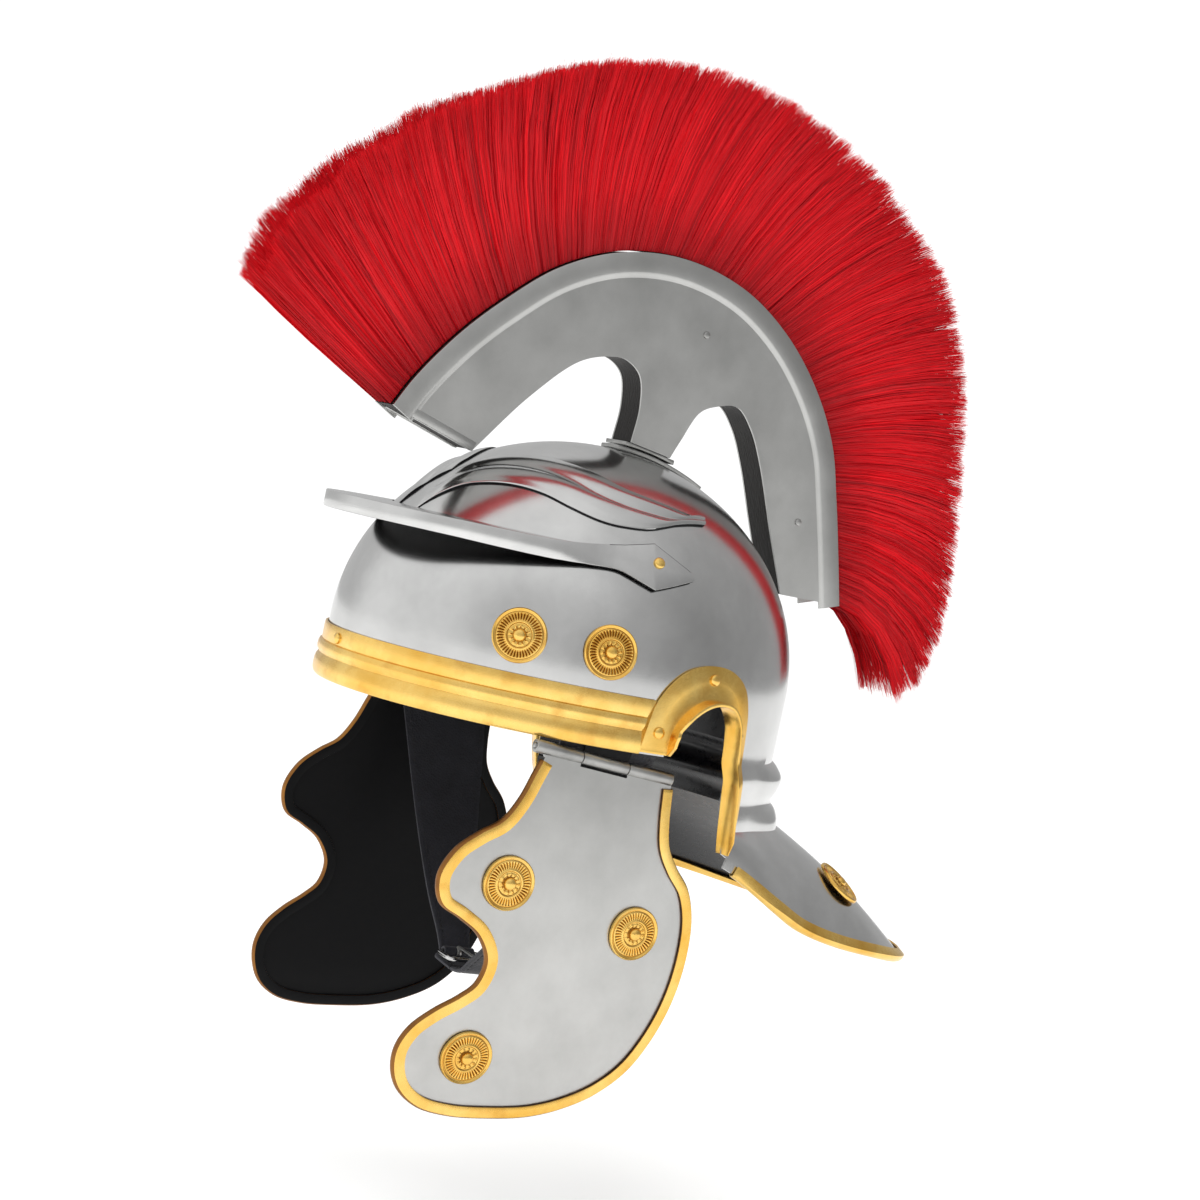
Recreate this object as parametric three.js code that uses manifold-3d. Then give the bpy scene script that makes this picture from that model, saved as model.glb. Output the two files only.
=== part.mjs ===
// A legionary's parade helmet: a steel bowl with a neck guard, brass trim, two hinged
// cheek guards, a leather chin strap and a tall crest with a brush of red hair.
// Millimetres, +Z up. The front is towards -Y and the wearer's left is towards +X.
// The origin is the centre of the head opening, level with the brow band's lower edge.
import * as THREE from 'three';
import { mergeVertices } from 'three/addons/utils/BufferGeometryUtils.js';
import Module from 'manifold-3d';

const wasm = await Module();
wasm.setup();

// Sheets and clearances
const clearance = 0.3;
const curvedClearance = 0.45;
const steelSheet = 1.6;
const brassSheet = 1.0;
const strapThickness = 2.0;

// Bowl
const bowlHalfWidth = 103.7;
const bowlHalfLength = 120.8;
const bowlShift = 1.7;
const shoulderHeight = 31.2;
const domeRise = 107.6;
const neckDepth = 33;
const neckFlare = 9;
const guardSpread = 3.3;
const guardHalfWidth = bowlHalfWidth + guardSpread;
const guardReach = 210;
const guardDrop = 89;
const guardCrown = 4;
const guardCorner = 66;

// Brow band and peak
const bandHeight = 26;
const bandRidge = 2.2;
const bandEndGap = 1;
const peakReach = 137;
const peakCentre = 6;
const peakHeight = 90;
const peakSideReach = 3.15;
const peakHalfWidth = bowlHalfWidth * skullScale(peakHeight) + peakSideReach;
const peakFace = 8;
const peakTabHeight = 20;
const peakTabRise = 3;
const peakRivetDrop = 2.5;
const peakRivetAngle = 85;
const peakSheet = 1.6;
const peakClearance = 0.95;
const browRelief = 2.4;

// Ear guards
const earCentre = 28;
const earHeight = 46;
const earLip = 10;
const earNotchRun = 4;
const earNotchDrop = 2;

// Hinges and cheek guards
const hingeInset = 7.2;
const hingeOffset = bowlHalfWidth - hingeInset;
const hingeFront = -56;
const hingeLength = 76;
const hingeDrop = 4.2;
const hingeSlope = 0.092;
const barrelRadius = 3.2;
const pinRadius = 1.25;
const leafHeight = 22;
const leafFoot = 3;
const leafClearance = 1.1;
const cheekFront = -91;
const cheekWidth = 138;
const cheekLength = 181;
const cheekBulge = 4.5;
const cheekTuck = 0.98;
const cheekCurl = 12;
const cheekCurlStart = 20;
const cheekTopReach = 1;
const slabMargin = 8;
const edgingWidth = 4.6;
const edgingTop = 13;
const edgingClearance = 0.9;

// Crest
const crestFront = -122;
const crestLength = 278;
const crestBase = 83;
const crestRise = 156;
const crestWidth = 21;
const crestSheet = 1.2;
const crestRimWidth = 12;
const crestRimRaise = 0.8;
const hairRootWidth = 17;
const hairTipWidth = 38;
const footPlateSheet = 2;
const footReach = 3;
const socketFront = 6;
const socketRear = 22;
const socketHalfWidth = 9;

// Small parts
const rosetteRadius = 13;
const rosetteHeight = 4;
const rivetRadius = 2.8;
const rivetHeight = 1.8;
const nailRadius = 1.9;
const nailHeight = 1.2;
const strapTopWidth = 52;
const strapEndWidth = 17;
const strapDepth = 128;
const strapForward = -17;
const buckleLength = 16;
const buckleWire = 1.2;
const buckleSide = 3.2;
const buckleRound = 3.5;
const buckleMouth = 4;
const sleeveWall = 1.2;
const tailPastBuckle = 14;
const tailDrop = 4.6;
const tongueWidth = 2.4;
const tongueHeight = 1.4;
const tongueLift = 0.5;

const colours = {
  steel: [0xc9cccf, 0.24, 1],
  brass: [0xe0b04a, 0.28, 1],
  hinge: [0xb4b7ba, 0.34, 1],
  wood: [0x15120f, 0.7, 0],
  hair: [0xc4101c, 0.75, 0],
  leather: [0x17161a, 0.65, 0],
};

function material(name) {
  const [color, roughness, metalness] = colours[name];
  return new THREE.MeshStandardMaterial({ color, roughness, metalness, flatShading: true });
}

const lerp = THREE.MathUtils.lerp;
const point = (x, y, z) => new THREE.Vector3(x, y, z);

// Turns points and triangles into a geometry whose faces point outwards.
function geometryFrom(points, triangles) {
  let volume = 0;
  for (const [a, b, c] of triangles) {
    volume += points[a].dot(points[b].clone().cross(points[c]));
  }
  const order = volume < 0 ? triangles.map(([a, b, c]) => [a, c, b]) : triangles;
  const geometry = new THREE.BufferGeometry();
  const values = points.flatMap((p) => [p.x, p.y, p.z]);
  geometry.setAttribute('position', new THREE.Float32BufferAttribute(values, 3));
  geometry.setIndex(order.flat());
  return geometry;
}

function toSolid(source) {
  const geometry = source.clone();
  geometry.deleteAttribute('normal');
  geometry.deleteAttribute('uv');
  const merged = mergeVertices(geometry, 1e-4);
  return new wasm.Manifold(new wasm.Mesh({
    numProp: 3,
    vertProperties: new Float32Array(merged.attributes.position.array),
    triVerts: new Uint32Array(merged.index.array),
  }));
}

function fromSolid(solid) {
  const mesh = solid.getMesh();
  const geometry = new THREE.BufferGeometry();
  geometry.setAttribute('position', new THREE.BufferAttribute(new Float32Array(mesh.vertProperties), 3));
  geometry.setIndex(Array.from(mesh.triVerts));
  return geometry;
}

const joined = (...shapes) => fromSolid(shapes.map(toSolid).reduce((a, b) => a.add(b)));
const cutBy = (body, ...tools) => fromSolid(tools.map(toSolid).reduce((a, b) => a.subtract(b), toSolid(body)));
const common = (a, b) => fromSolid(toSolid(a).intersect(toSolid(b)));

// The same geometry on the wearer's other side.
function mirrored(source) {
  const geometry = source.index ? source.clone() : mergeVertices(source);
  geometry.scale(-1, 1, 1);
  const index = geometry.index.array;
  for (let i = 0; i < index.length; i += 3) {
    [index[i], index[i + 1]] = [index[i + 1], index[i]];
  }
  return geometry;
}

// Triangles that fill a ring of points, turned the same way as the ring.
function capTriangles(ring) {
  const normal = new THREE.Vector3();
  ring.forEach((p, i) => {
    const q = ring[(i + 1) % ring.length];
    normal.add(p.clone().cross(q));
  });
  normal.normalize();
  const across = Math.abs(normal.z) > 0.9 ? point(1, 0, 0) : point(0, 0, 1);
  const u = across.cross(normal).normalize();
  const v = normal.clone().cross(u);
  const flat = ring.map((p) => new THREE.Vector2(p.dot(u), p.dot(v)));
  return THREE.ShapeUtils.triangulateShape(flat, []).map(([a, b, c]) => {
    const turn = flat[b].clone().sub(flat[a]).cross(flat[c].clone().sub(flat[a]));
    return turn > 0 ? [a, b, c] : [a, c, b];
  });
}

// A body through rings that all have the same number of points.
function loft(rings) {
  const count = rings[0].length;
  const points = rings.flat();
  const triangles = [];
  for (let k = 0; k + 1 < rings.length; k += 1) {
    for (let i = 0; i < count; i += 1) {
      const j = (i + 1) % count;
      const a = k * count + i;
      const b = k * count + j;
      triangles.push([a, b, b + count], [a, b + count, a + count]);
    }
  }
  const last = (rings.length - 1) * count;
  for (const [a, b, c] of capTriangles(rings[0])) triangles.push([a, c, b]);
  for (const [a, b, c] of capTriangles(rings[rings.length - 1])) triangles.push([last + a, last + b, last + c]);
  return geometryFrom(points, triangles);
}

// A plate whose outline lies in the YZ plane, between two places along X.
function plateAcross(outline, from, to) {
  return loft([from, to].map((x) => outline.map(([y, z]) => point(x, y, z))));
}

// A smooth row of points through the shares of a table, times two lengths.
function throughTable(table, count, y0, length, z0, height) {
  const curve = new THREE.CatmullRomCurve3(table.map(([a, b]) => point(0, y0 + a * length, z0 + b * height)),
    false, 'centripetal');
  return curve.getSpacedPoints(count).map((p) => [p.y, p.z]);
}

// Reads a table of rows by linear steps in its first column.
function readTable(table, at, column) {
  const high = Math.max(1, table.findIndex((row) => row[0] >= at));
  const next = table[high < 1 || at > table[table.length - 1][0] ? table.length - 1 : high];
  const last = table[table.indexOf(next) - 1];
  const share = THREE.MathUtils.clamp((at - last[0]) / (next[0] - last[0]), 0, 1);
  return lerp(last[column], next[column], share);
}

function placed(geometry, at, normal) {
  const turn = new THREE.Quaternion().setFromUnitVectors(point(0, 0, 1), normal.clone().normalize());
  return geometry.clone().applyQuaternion(turn).translate(at.x, at.y, at.z);
}

// Skull surface

function skullScale(z) {
  const rise = Math.max(0, z - shoulderHeight) / domeRise;
  return Math.sqrt(Math.max(0, 1 - rise * rise));
}

// Angle 0 is the back of the helmet and 90 degrees the wearer's left.
function skullPoint(angle, z, lift) {
  const scale = skullScale(z);
  const base = point(bowlHalfWidth * scale * Math.sin(angle), bowlShift + bowlHalfLength * scale * Math.cos(angle), z);
  return base.addScaledVector(skullNormal(base), lift);
}

function skullNormal(p) {
  const rise = Math.max(0, p.z - shoulderHeight);
  return point(p.x / bowlHalfWidth ** 2, (p.y - bowlShift) / bowlHalfLength ** 2, rise / domeRise ** 2).normalize();
}

// How far the neck stands out below the rim, as shares of the neck's depth and flare.
const neckRibs = [
  // depth share, flare share
  [0, 0],
  [0.1, 0.4],
  [0.25, 0.72],
  [0.42, 0.62],
  [0.6, 0.36],
  [0.75, 0.76],
  [0.88, 0.96],
  [1, 1],
];

function neckStandOut(z, angle) {
  const fade = 1 - 0.7 * THREE.MathUtils.smoothstep(THREE.MathUtils.radToDeg(angle), 34, 52);
  return fade * neckFlare * readTable(neckRibs, Math.max(0, -z) / neckDepth, 1);
}

// The place on the bowl's side that has a given y and z.
function sideX(y, z) {
  const along = (y - bowlShift) / bowlHalfLength;
  const rise = Math.max(0, z - shoulderHeight) / domeRise;
  const ribs = z < 0 && y > 0 ? 0.45 * neckFlare * readTable(neckRibs, -z / neckDepth, 1) : 0;
  const flare = ribs + 0.8 * Math.max(0, -z - neckDepth);
  return flare + bowlHalfWidth * Math.sqrt(Math.max(0, 1 - along * along - rise * rise));
}

function sidePoint(y, z, lift) {
  const p = point(sideX(y, z), y, z);
  return p.addScaledVector(skullNormal(p), lift);
}

// Height of the dome above a place in plan.
function domePoint(x, y, lift) {
  const share = (x / bowlHalfWidth) ** 2 + ((y - bowlShift) / bowlHalfLength) ** 2;
  const p = point(x, y, shoulderHeight + domeRise * Math.sqrt(Math.max(0, 1 - share)));
  return p.addScaledVector(skullNormal(p), lift);
}

// Edge of the neck guard, from its middle round to the front corner and beyond the cut.
const guardEdge = [
  // angle, share of half width, share of reach, share of drop
  [0, 0, 1, 1],
  [14, 0.45, 0.975, 0.99],
  [24, 0.75, 0.915, 0.98],
  [32, 0.91, 0.81, 0.95],
  [40, 0.98, 0.645, 0.9],
  [48, 1, 0.52, 0.835],
  [56, 1, 0.423, 0.735],
  [66, 0.93, 0.277, 0.56],
  [80, 1, 0.136, 0.56],
  [90, 1, 0, 0.6],
];

function guardEdgePoint(angle) {
  const degrees = Math.abs(THREE.MathUtils.radToDeg(angle));
  return point(
    Math.sign(angle) * guardHalfWidth * readTable(guardEdge, degrees, 1),
    guardReach * readTable(guardEdge, degrees, 2),
    -guardDrop * readTable(guardEdge, degrees, 3),
  );
}

// Ear guard: a flat flange on the bowl and a lip that stands out round the opening.
const earStations = [
  // inner y, inner z, outer y, outer z, all as shares of the guard's height from its centre
  [-0.37, 0.02, -0.72, 0.02],
  [-0.37, 0.2, -0.74, 0.2],
  [-0.33, 0.35, -0.69, 0.42],
  [-0.22, 0.49, -0.54, 0.72],
  [-0.07, 0.59, -0.32, 0.92],
  [0.09, 0.62, -0.04, 1],
  [0.24, 0.575, 0.26, 0.975],
  [0.35, 0.43, 0.5, 0.83],
  [0.4, 0.24, 0.63, 0.58],
  [0.43, 0, 0.69, 0.25],
  [0.46, -0.26, 0.72, -0.08],
  [0.5, -0.52, 0.76, -0.4],
  [0.54, -0.76, 0.775, -0.68],
  [0.58, -0.94, 0.75, -0.9],
];
const earInner = earStations.map(([y, z]) => [earCentre + y * earHeight, z * earHeight]);
const earOuter = earStations.map(([, , y, z]) => [earCentre + y * earHeight, z * earHeight]);

// Bowl

const degrees = Math.PI / 180;
const domeRings = [11, 22, 33, 44, 56, 68, 79, 90];
const wallRings = [0];
const neckRings = neckRibs.slice(1).map((row) => row[0]);
const flareRings = [0.5, 1];
const rearAngles = [0, 12, 24, 32, 40, 48, 56, 61, 66, 80];
const frontAngles = [92, 104, 116, 128, 141, 154, 167];
const halfAngles = [...rearAngles, ...frontAngles];
const bowlAngles = [...halfAngles, 180, ...halfAngles.slice(1).reverse().map((a) => -a)].map((a) => a * degrees);

function bowlColumn(angle) {
  const column = domeRings.map((ring) => {
    const z = shoulderHeight + domeRise * Math.cos(ring * degrees);
    return skullPoint(angle, z, 0);
  });
  wallRings.forEach((share) => column.push(skullPoint(angle, shoulderHeight * share, 0)));
  const outward = point(Math.sin(angle), Math.cos(angle), 0);
  neckRings.forEach((share) => {
    const z = -share * neckDepth;
    column.push(skullPoint(angle, z, 0).addScaledVector(outward, neckStandOut(z, Math.abs(angle))));
  });
  const crease = column[column.length - 1];
  const behind = Math.abs(angle) <= Math.PI / 2;
  const edge = behind ? guardEdgePoint(angle) : crease.clone().add(point(0, 0, -neckDepth));
  flareRings.forEach((share) => {
    const p = crease.clone().lerp(edge, share);
    p.z += guardCrown * Math.sin(Math.PI * share) * (behind ? 1 : 0);
    column.push(p);
  });
  return column;
}

function bowlShell() {
  const columns = bowlAngles.map(bowlColumn);
  const rows = columns[0].length;
  const around = columns.length;
  const top = point(0, bowlShift, shoulderHeight + domeRise);
  const at = (i, k) => (k < 0 ? top : columns[(i + around) % around][Math.min(k, rows - 1)]);
  const outer = [];
  const inner = [];
  for (let i = 0; i < around; i += 1) {
    for (let k = 0; k < rows; k += 1) {
      const alongRow = at(i + 1, k).clone().sub(at(i - 1, k));
      const alongColumn = at(i, k + 1).clone().sub(at(i, k - 1));
      const normal = alongColumn.cross(alongRow).normalize();
      outer.push(at(i, k));
      inner.push(at(i, k).clone().addScaledVector(normal, -steelSheet * Math.sign(normal.dot(at(i, k)) || 1)));
    }
  }
  const points = [...outer, ...inner, top, top.clone().add(point(0, 0, -steelSheet))];
  const inside = outer.length;
  const outerTop = inside * 2;
  const triangles = [];
  for (let i = 0; i < around; i += 1) {
    const j = (i + 1) % around;
    triangles.push([outerTop, j * rows, i * rows], [outerTop + 1, inside + i * rows, inside + j * rows]);
    for (let k = 0; k + 1 < rows; k += 1) {
      const a = i * rows + k;
      const b = j * rows + k;
      triangles.push([a, b, b + 1], [a, b + 1, a + 1]);
      triangles.push([inside + a, inside + b + 1, inside + b], [inside + a, inside + a + 1, inside + b + 1]);
    }
    const a = i * rows + rows - 1;
    const b = j * rows + rows - 1;
    triangles.push([a, b, inside + b], [a, inside + b, inside + a]);
  }
  return geometryFrom(points, triangles);
}

// What is cut away below the rim: all in front of the ear, the ear opening and what lies
// before the neck guard's front corner.
function lowerCut() {
  const opening = earInner.map(([y, z], i) => [lerp(y, earOuter[i][0], 0.12), lerp(z, earOuter[i][1], 0.12)]);
  const below = -2 * guardDrop;
  const ahead = -2 * bowlHalfLength;
  const corner = guardEdgePoint(guardCorner * degrees);
  const [lastY, lastZ] = opening[opening.length - 1];
  const outline = [
    [ahead, 0],
    [opening[0][0], 0],
    ...opening.slice(1),
    [lastY + earNotchRun, lastZ - earNotchDrop],
    [corner.y, corner.z],
    [corner.y, below],
    [ahead, below],
  ];
  return plateAcross(outline, -2 * bowlHalfWidth, 2 * bowlHalfWidth);
}

// Raised eyebrows: a winged ridge on each side of the dome, over plan positions.
const browLine = [
  // lower edge x, lower edge y, upper edge x, upper edge y, as shares of the half width and length
  [0.1, -0.82, 0.02, -0.65],
  [0.15, -0.75, 0.07, -0.56],
  [0.21, -0.68, 0.15, -0.47],
  [0.3, -0.61, 0.25, -0.385],
  [0.4, -0.535, 0.36, -0.3],
  [0.5, -0.46, 0.46, -0.22],
  [0.61, -0.375, 0.55, -0.135],
  [0.69, -0.28, 0.6, -0.03],
  [0.73, -0.18, 0.625, 0.08],
  [0.74, -0.06, 0.63, 0.16],
  [0.7, 0.08, 0.61, 0.2],
  [0.65, 0.22, 0.6, 0.235],
];

function browRidge() {
  const profile = [[0, -0.5], [0.08, 1], [0.42, 0.8], [0.5, 0.35], [0.6, 0.9], [0.92, 0.75], [1, -0.5], [0.5, -0.5]];
  return loft(browLine.map(([x0, y0, x1, y1]) => profile.map(([share, rise]) => {
    const x = lerp(x0, x1, share) * bowlHalfWidth;
    const y = lerp(y0, y1, share) * bowlHalfLength;
    return domePoint(x, y, rise < 0 ? -0.75 * steelSheet : rise * browRelief);
  })));
}

const brow = browRidge();
const bowl = joined(cutBy(bowlShell(), lowerCut()), brow, mirrored(brow));

// Brow band, from one ear guard round the front to the other

const bandProfile = [
  // stand-out share, height share
  [0, 0.01],
  [0.55, 0.01],
  [0.95, 0.08],
  [1, 0.2],
  [0.75, 0.36],
  [0.45, 0.44],
  [0.85, 0.56],
  [0.4, 0.66],
  [0.4, 1],
  [0, 1],
];

function browBand() {
  const start = Math.acos((earOuter[0][0] - bandEndGap - bowlShift) / bowlHalfLength) / degrees;
  const stations = 18;
  const rings = [];
  for (let i = 0; i <= stations; i += 1) {
    const angle = lerp(start, 360 - start, i / stations) * degrees;
    rings.push(bandProfile.map(([out, up]) => {
      const lift = curvedClearance + out * (brassSheet + bandRidge);
      return skullPoint(angle, up * bandHeight, lift);
    }));
  }
  return loft(rings);
}

// Peak: a flange that stands forward from the bowl with a turned-down face. Towards each
// end it narrows into a pointed tab that lies on the bowl.

const peakStations = [
  // angle from the front, flange share, face height share, tab share, drop of the face's top
  [0, 1, 1, 0, 0],
  [11, 1, 1, 0, 0],
  [22, 1, 1, 0, 0],
  [33, 1, 1, 0, 0],
  [44, 1, 1.02, 0, 0],
  [54, 1, 1.08, 0, 0],
  [62, 0.95, 1.15, 0.05, 0],
  [67, 0.8, 1.2, 0.35, 0],
  [71.5, 0.4, 1.3, 0.8, 0.03],
  [75, 0.08, 1.5, 1, 0.01],
  [84, 0.02, 2.6, 1, -0.155],
  [95.5, 0.02, 0.4, 1, 0.36],
];

function peakRing(angle, flange, face, tab, drop) {
  const a = angle * degrees;
  const top = peakHeight + peakTabRise * tab - drop * peakTabHeight;
  const bottom = top - face * peakFace;
  const reach = point(peakHalfWidth * Math.sin(a), -peakCentre - (peakReach - peakCentre) * Math.cos(a), 0);
  const outerAt = (z, inset) => {
    const free = point(reach.x, reach.y, z);
    const inward = point(reach.x / peakHalfWidth ** 2, reach.y / peakReach ** 2, 0).normalize();
    free.addScaledVector(inward, -inset);
    const seated = skullPoint(Math.PI - a, z, peakClearance + peakSheet - inset);
    return free.lerp(seated, tab);
  };
  const seat = skullPoint(Math.PI - a, top, peakClearance);
  const seatLow = skullPoint(Math.PI - a, top - peakSheet, peakClearance);
  const middle = (top + bottom) / 2;
  const innerTop = outerAt(top, peakSheet);
  const innerLow = outerAt(top - peakSheet, peakSheet);
  return [
    innerTop.clone().lerp(seat, flange),
    outerAt(top, 0),
    outerAt(middle, 0),
    outerAt(bottom, 0),
    outerAt(bottom, peakSheet),
    outerAt(middle, peakSheet),
    innerLow.clone(),
    innerLow.clone().lerp(seatLow, flange),
  ];
}

function peakStrip() {
  const half = peakStations.map((row) => peakRing(...row));
  const other = half.slice(1).map((ring) => ring.map((p) => point(-p.x, p.y, p.z)));
  return loft([...other.reverse(), ...half]);
}

// Ear guards

function earGuard() {
  return loft(earStations.map((row, i) => {
    const [iy, iz] = earInner[i];
    const [oy, oz] = earOuter[i];
    const at = (share, lift) => point(sideX(lerp(iy, oy, share), lerp(iz, oz, share)) + lift,
      lerp(iy, oy, share), lerp(iz, oz, share));
    const low = curvedClearance;
    const high = curvedClearance + brassSheet;
    return [at(1, low), at(1, high), at(0.5, high), at(0.1, high), at(0.1, earLip), at(0, earLip), at(0, low), at(0.5, low)];
  }));
}

// Small round parts

function dome(radius, height) {
  const profile = [[0, 0], [radius, 0], [0.78 * radius, 0.75 * height], [0, height]];
  return new THREE.LatheGeometry(profile.map(([r, z]) => new THREE.Vector2(r, z)), 7).rotateX(Math.PI / 2);
}

// Rosette: a raised rim, a sunken field, a ring and a domed rivet in the middle.
const rosetteProfile = [
  // radius share, height share
  [0, 0],
  [1, 0],
  [0.96, 0.55],
  [0.82, 0.3],
  [0.24, 0.4],
  [0, 1],
];

function rosette() {
  const profile = rosetteProfile.map(([r, z]) => new THREE.Vector2(r * rosetteRadius, z * rosetteHeight));
  return new THREE.LatheGeometry(profile, 9).rotateX(Math.PI / 2);
}

// Neck guard edging: a folded brass strip over the sheet's edge

// A column of the faceted sheet behind the ears, also between two of the bowl's angles.
function sheetColumn(angle) {
  const turn = Math.abs(angle) / degrees;
  const next = Math.max(1, rearAngles.findIndex((a) => a >= turn));
  const [low, high] = rearAngles.slice(next - 1, next + 1);
  const side = Math.sign(angle) * degrees;
  const to = bowlColumn(high * side);
  return bowlColumn(low * side).map((p, k) => p.lerp(to[k], (turn - low) / (high - low)));
}

function neckEdging() {
  const lastTurns = [7.5, 2].map((short) => guardCorner - short);
  const stations = [...rearAngles.filter((a) => a < guardCorner), ...lastTurns].sort((a, b) => a - b);
  const angles = [...stations.slice(1).reverse().map((a) => -a), ...stations].map((a) => a * degrees);
  return loft(angles.map((angle) => {
    const column = sheetColumn(angle);
    const edge = column[column.length - 1];
    const back = column[column.length - 2].clone().sub(edge).normalize();
    const aside = sheetColumn(angle + 2 * degrees).pop().sub(sheetColumn(angle - 2 * degrees).pop()).normalize();
    const inward = back.addScaledVector(aside, -back.dot(aside)).normalize();
    const up = aside.clone().cross(inward).normalize();
    up.multiplyScalar(Math.sign(up.z));
    const at = (depth, height) => edge.clone().addScaledVector(inward, depth).addScaledVector(up, height);
    const top = edgingClearance;
    const under = -steelSheet - edgingClearance;
    return [
      at(edgingWidth, top),
      at(edgingWidth, top + brassSheet),
      at(-clearance - brassSheet, top + brassSheet),
      at(-clearance - brassSheet, under - brassSheet),
      at(edgingWidth, under - brassSheet),
      at(edgingWidth, under),
      at(-clearance, under),
      at(-clearance, top),
    ];
  }));
}

// Hinges: the cheek carries the first and third knuckle, the bowl's leaf the middle one

const knuckleLength = hingeLength / 3;
const hingeDirection = point(0, 1, -hingeSlope).normalize();
const hingeAt = (share) => point(hingeOffset, hingeFront + share * hingeLength,
  -hingeDrop - share * hingeLength * hingeSlope);

function alongHinge(radius, from, to, bore) {
  const start = hingeAt(from);
  const length = hingeAt(to).distanceTo(start);
  const ring = (r, z) => new THREE.Vector2(r, z);
  const profile = bore
    ? [ring(bore, 0), ring(radius, 0), ring(radius, length), ring(bore, length), ring(bore, 0)]
    : [ring(0, 0), ring(radius, 0), ring(radius, length), ring(0, length)];
  const geometry = mergeVertices(new THREE.LatheGeometry(profile, 12).rotateX(Math.PI / 2)
    .deleteAttribute('normal').deleteAttribute('uv'), 1e-4);
  return placed(geometry, start, hingeDirection);
}

const knuckleGap = clearance / hingeLength;
const knuckleShare = knuckleLength / hingeLength;
const pinBore = pinRadius + clearance;
const firstKnuckle = alongHinge(barrelRadius, 0, knuckleShare - knuckleGap, pinBore);
const middleKnuckle = alongHinge(barrelRadius, knuckleShare, 2 * knuckleShare, pinBore);
const lastKnuckle = alongHinge(barrelRadius, 2 * knuckleShare + knuckleGap, 1, pinBore);
const hingePin = alongHinge(pinRadius, -0.012, 1.012, 0);

function hingeLeaf() {
  const wall = (barrelRadius + pinBore) / 2;
  const rings = [0.02, 0.27, 0.5, 0.73, 0.98].map((share) => {
    const axis = hingeAt(knuckleShare * (1 + share));
    const face = (z, depth) => point(sideX(axis.y, z) - steelSheet - leafClearance - depth, axis.y, z);
    return [
      face(leafHeight, 0),
      face(leafFoot, 0),
      point(axis.x + steelSheet / 2, axis.y, axis.z + wall),
      point(axis.x - steelSheet / 2, axis.y, axis.z + wall),
      face(leafFoot - steelSheet / 2, steelSheet),
      face(leafHeight, steelSheet),
    ];
  });
  return joined(loft(rings), middleKnuckle);
}

// Cheek guard outline, from the hinge's front end down the front edge and up the back
const cheekFrontEdge = [
  // share of width, share of length
  [0.297, 0.05],
  [0.275, 0.094],
  [0.239, 0.166],
  [0.188, 0.227],
  [0.116, 0.265],
  [0.043, 0.315],
  [0.004, 0.385],
  [0.029, 0.448],
  [0.109, 0.481],
  [0.188, 0.519],
  [0.24, 0.585],
  [0.225, 0.652],
  [0.174, 0.691],
  [0.094, 0.735],
  [0.029, 0.785],
  [0, 0.84],
  [0.007, 0.895],
  [0.043, 0.945],
  [0.116, 0.983],
  [0.232, 1],
  [0.37, 1],
  [0.536, 0.989],
  [0.667, 0.961],
  [0.783, 0.917],
  [0.877, 0.851],
  [0.942, 0.762],
  [0.986, 0.652],
  [1, 0.53],
  [0.985, 0.42],
  [0.945, 0.345],
  [0.88, 0.29],
  [0.835, 0.238],
  [0.815, 0.171],
  [0.805, 0.085],
];
const cheekOutline = throughTable(cheekFrontEdge, 30, cheekFront, cheekWidth, 0, -cheekLength);

function cheekX(y, z) {
  const down = THREE.MathUtils.clamp(-z / cheekLength, 0, 1);
  const forward = Math.max(0, (-y - cheekCurlStart) / cheekWidth);
  const bow = Math.sin(Math.PI * Math.min(1, down * 1.1)) - cheekTuck * down;
  return hingeOffset + cheekBulge * bow - cheekCurl * forward * forward;
}

// A bent slab that follows the cheek's surface between two depths.
function cheekSlab(inner, outer) {
  const across = 5;
  const along = 8;
  const rings = [];
  for (let k = 0; k <= along; k += 1) {
    const z = lerp(slabMargin, -cheekLength - slabMargin, k / along);
    const front = [];
    const back = [];
    for (let i = 0; i <= across; i += 1) {
      const y = lerp(cheekFront - slabMargin, cheekFront + cheekWidth + slabMargin, i / across);
      front.push(point(cheekX(y, z) + outer, y, z));
      back.unshift(point(cheekX(y, z) + inner, y, z));
    }
    rings.push([...front, ...back]);
  }
  return loft(rings);
}

// The outline moved inwards (or outwards, below zero) by a distance.
function insetOutline(outline, distance) {
  return outline.map(([y, z], i) => {
    const [y0, z0] = outline[Math.max(0, i - 1)];
    const [y1, z1] = outline[Math.min(outline.length - 1, i + 1)];
    const length = Math.hypot(y1 - y0, z1 - z0);
    return [y - (z1 - z0) / length * distance, z + (y1 - y0) / length * distance];
  });
}

const hingeZ = (y) => -hingeDrop - (y - hingeFront) * hingeSlope;
const barrelSeat = (barrelRadius + pinBore) / 2;

function cheekPlate() {
  const first = cheekOutline[0];
  const last = cheekOutline[cheekOutline.length - 1];
  const top = (y) => hingeZ(y) - barrelSeat;
  const outline = [[first[0] - cheekTopReach, top(first[0] - cheekTopReach)], ...cheekOutline, [last[0], top(last[0])]];
  const sheet = common(cheekSlab(-steelSheet / 2, steelSheet / 2), plateAcross(outline, 0, 2 * hingeOffset));
  const room = alongHinge(barrelRadius + 2 * clearance, knuckleShare - knuckleGap, 2 * knuckleShare + knuckleGap, 0);
  return joined(cutBy(sheet, room), firstKnuckle, lastKnuckle);
}

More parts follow.
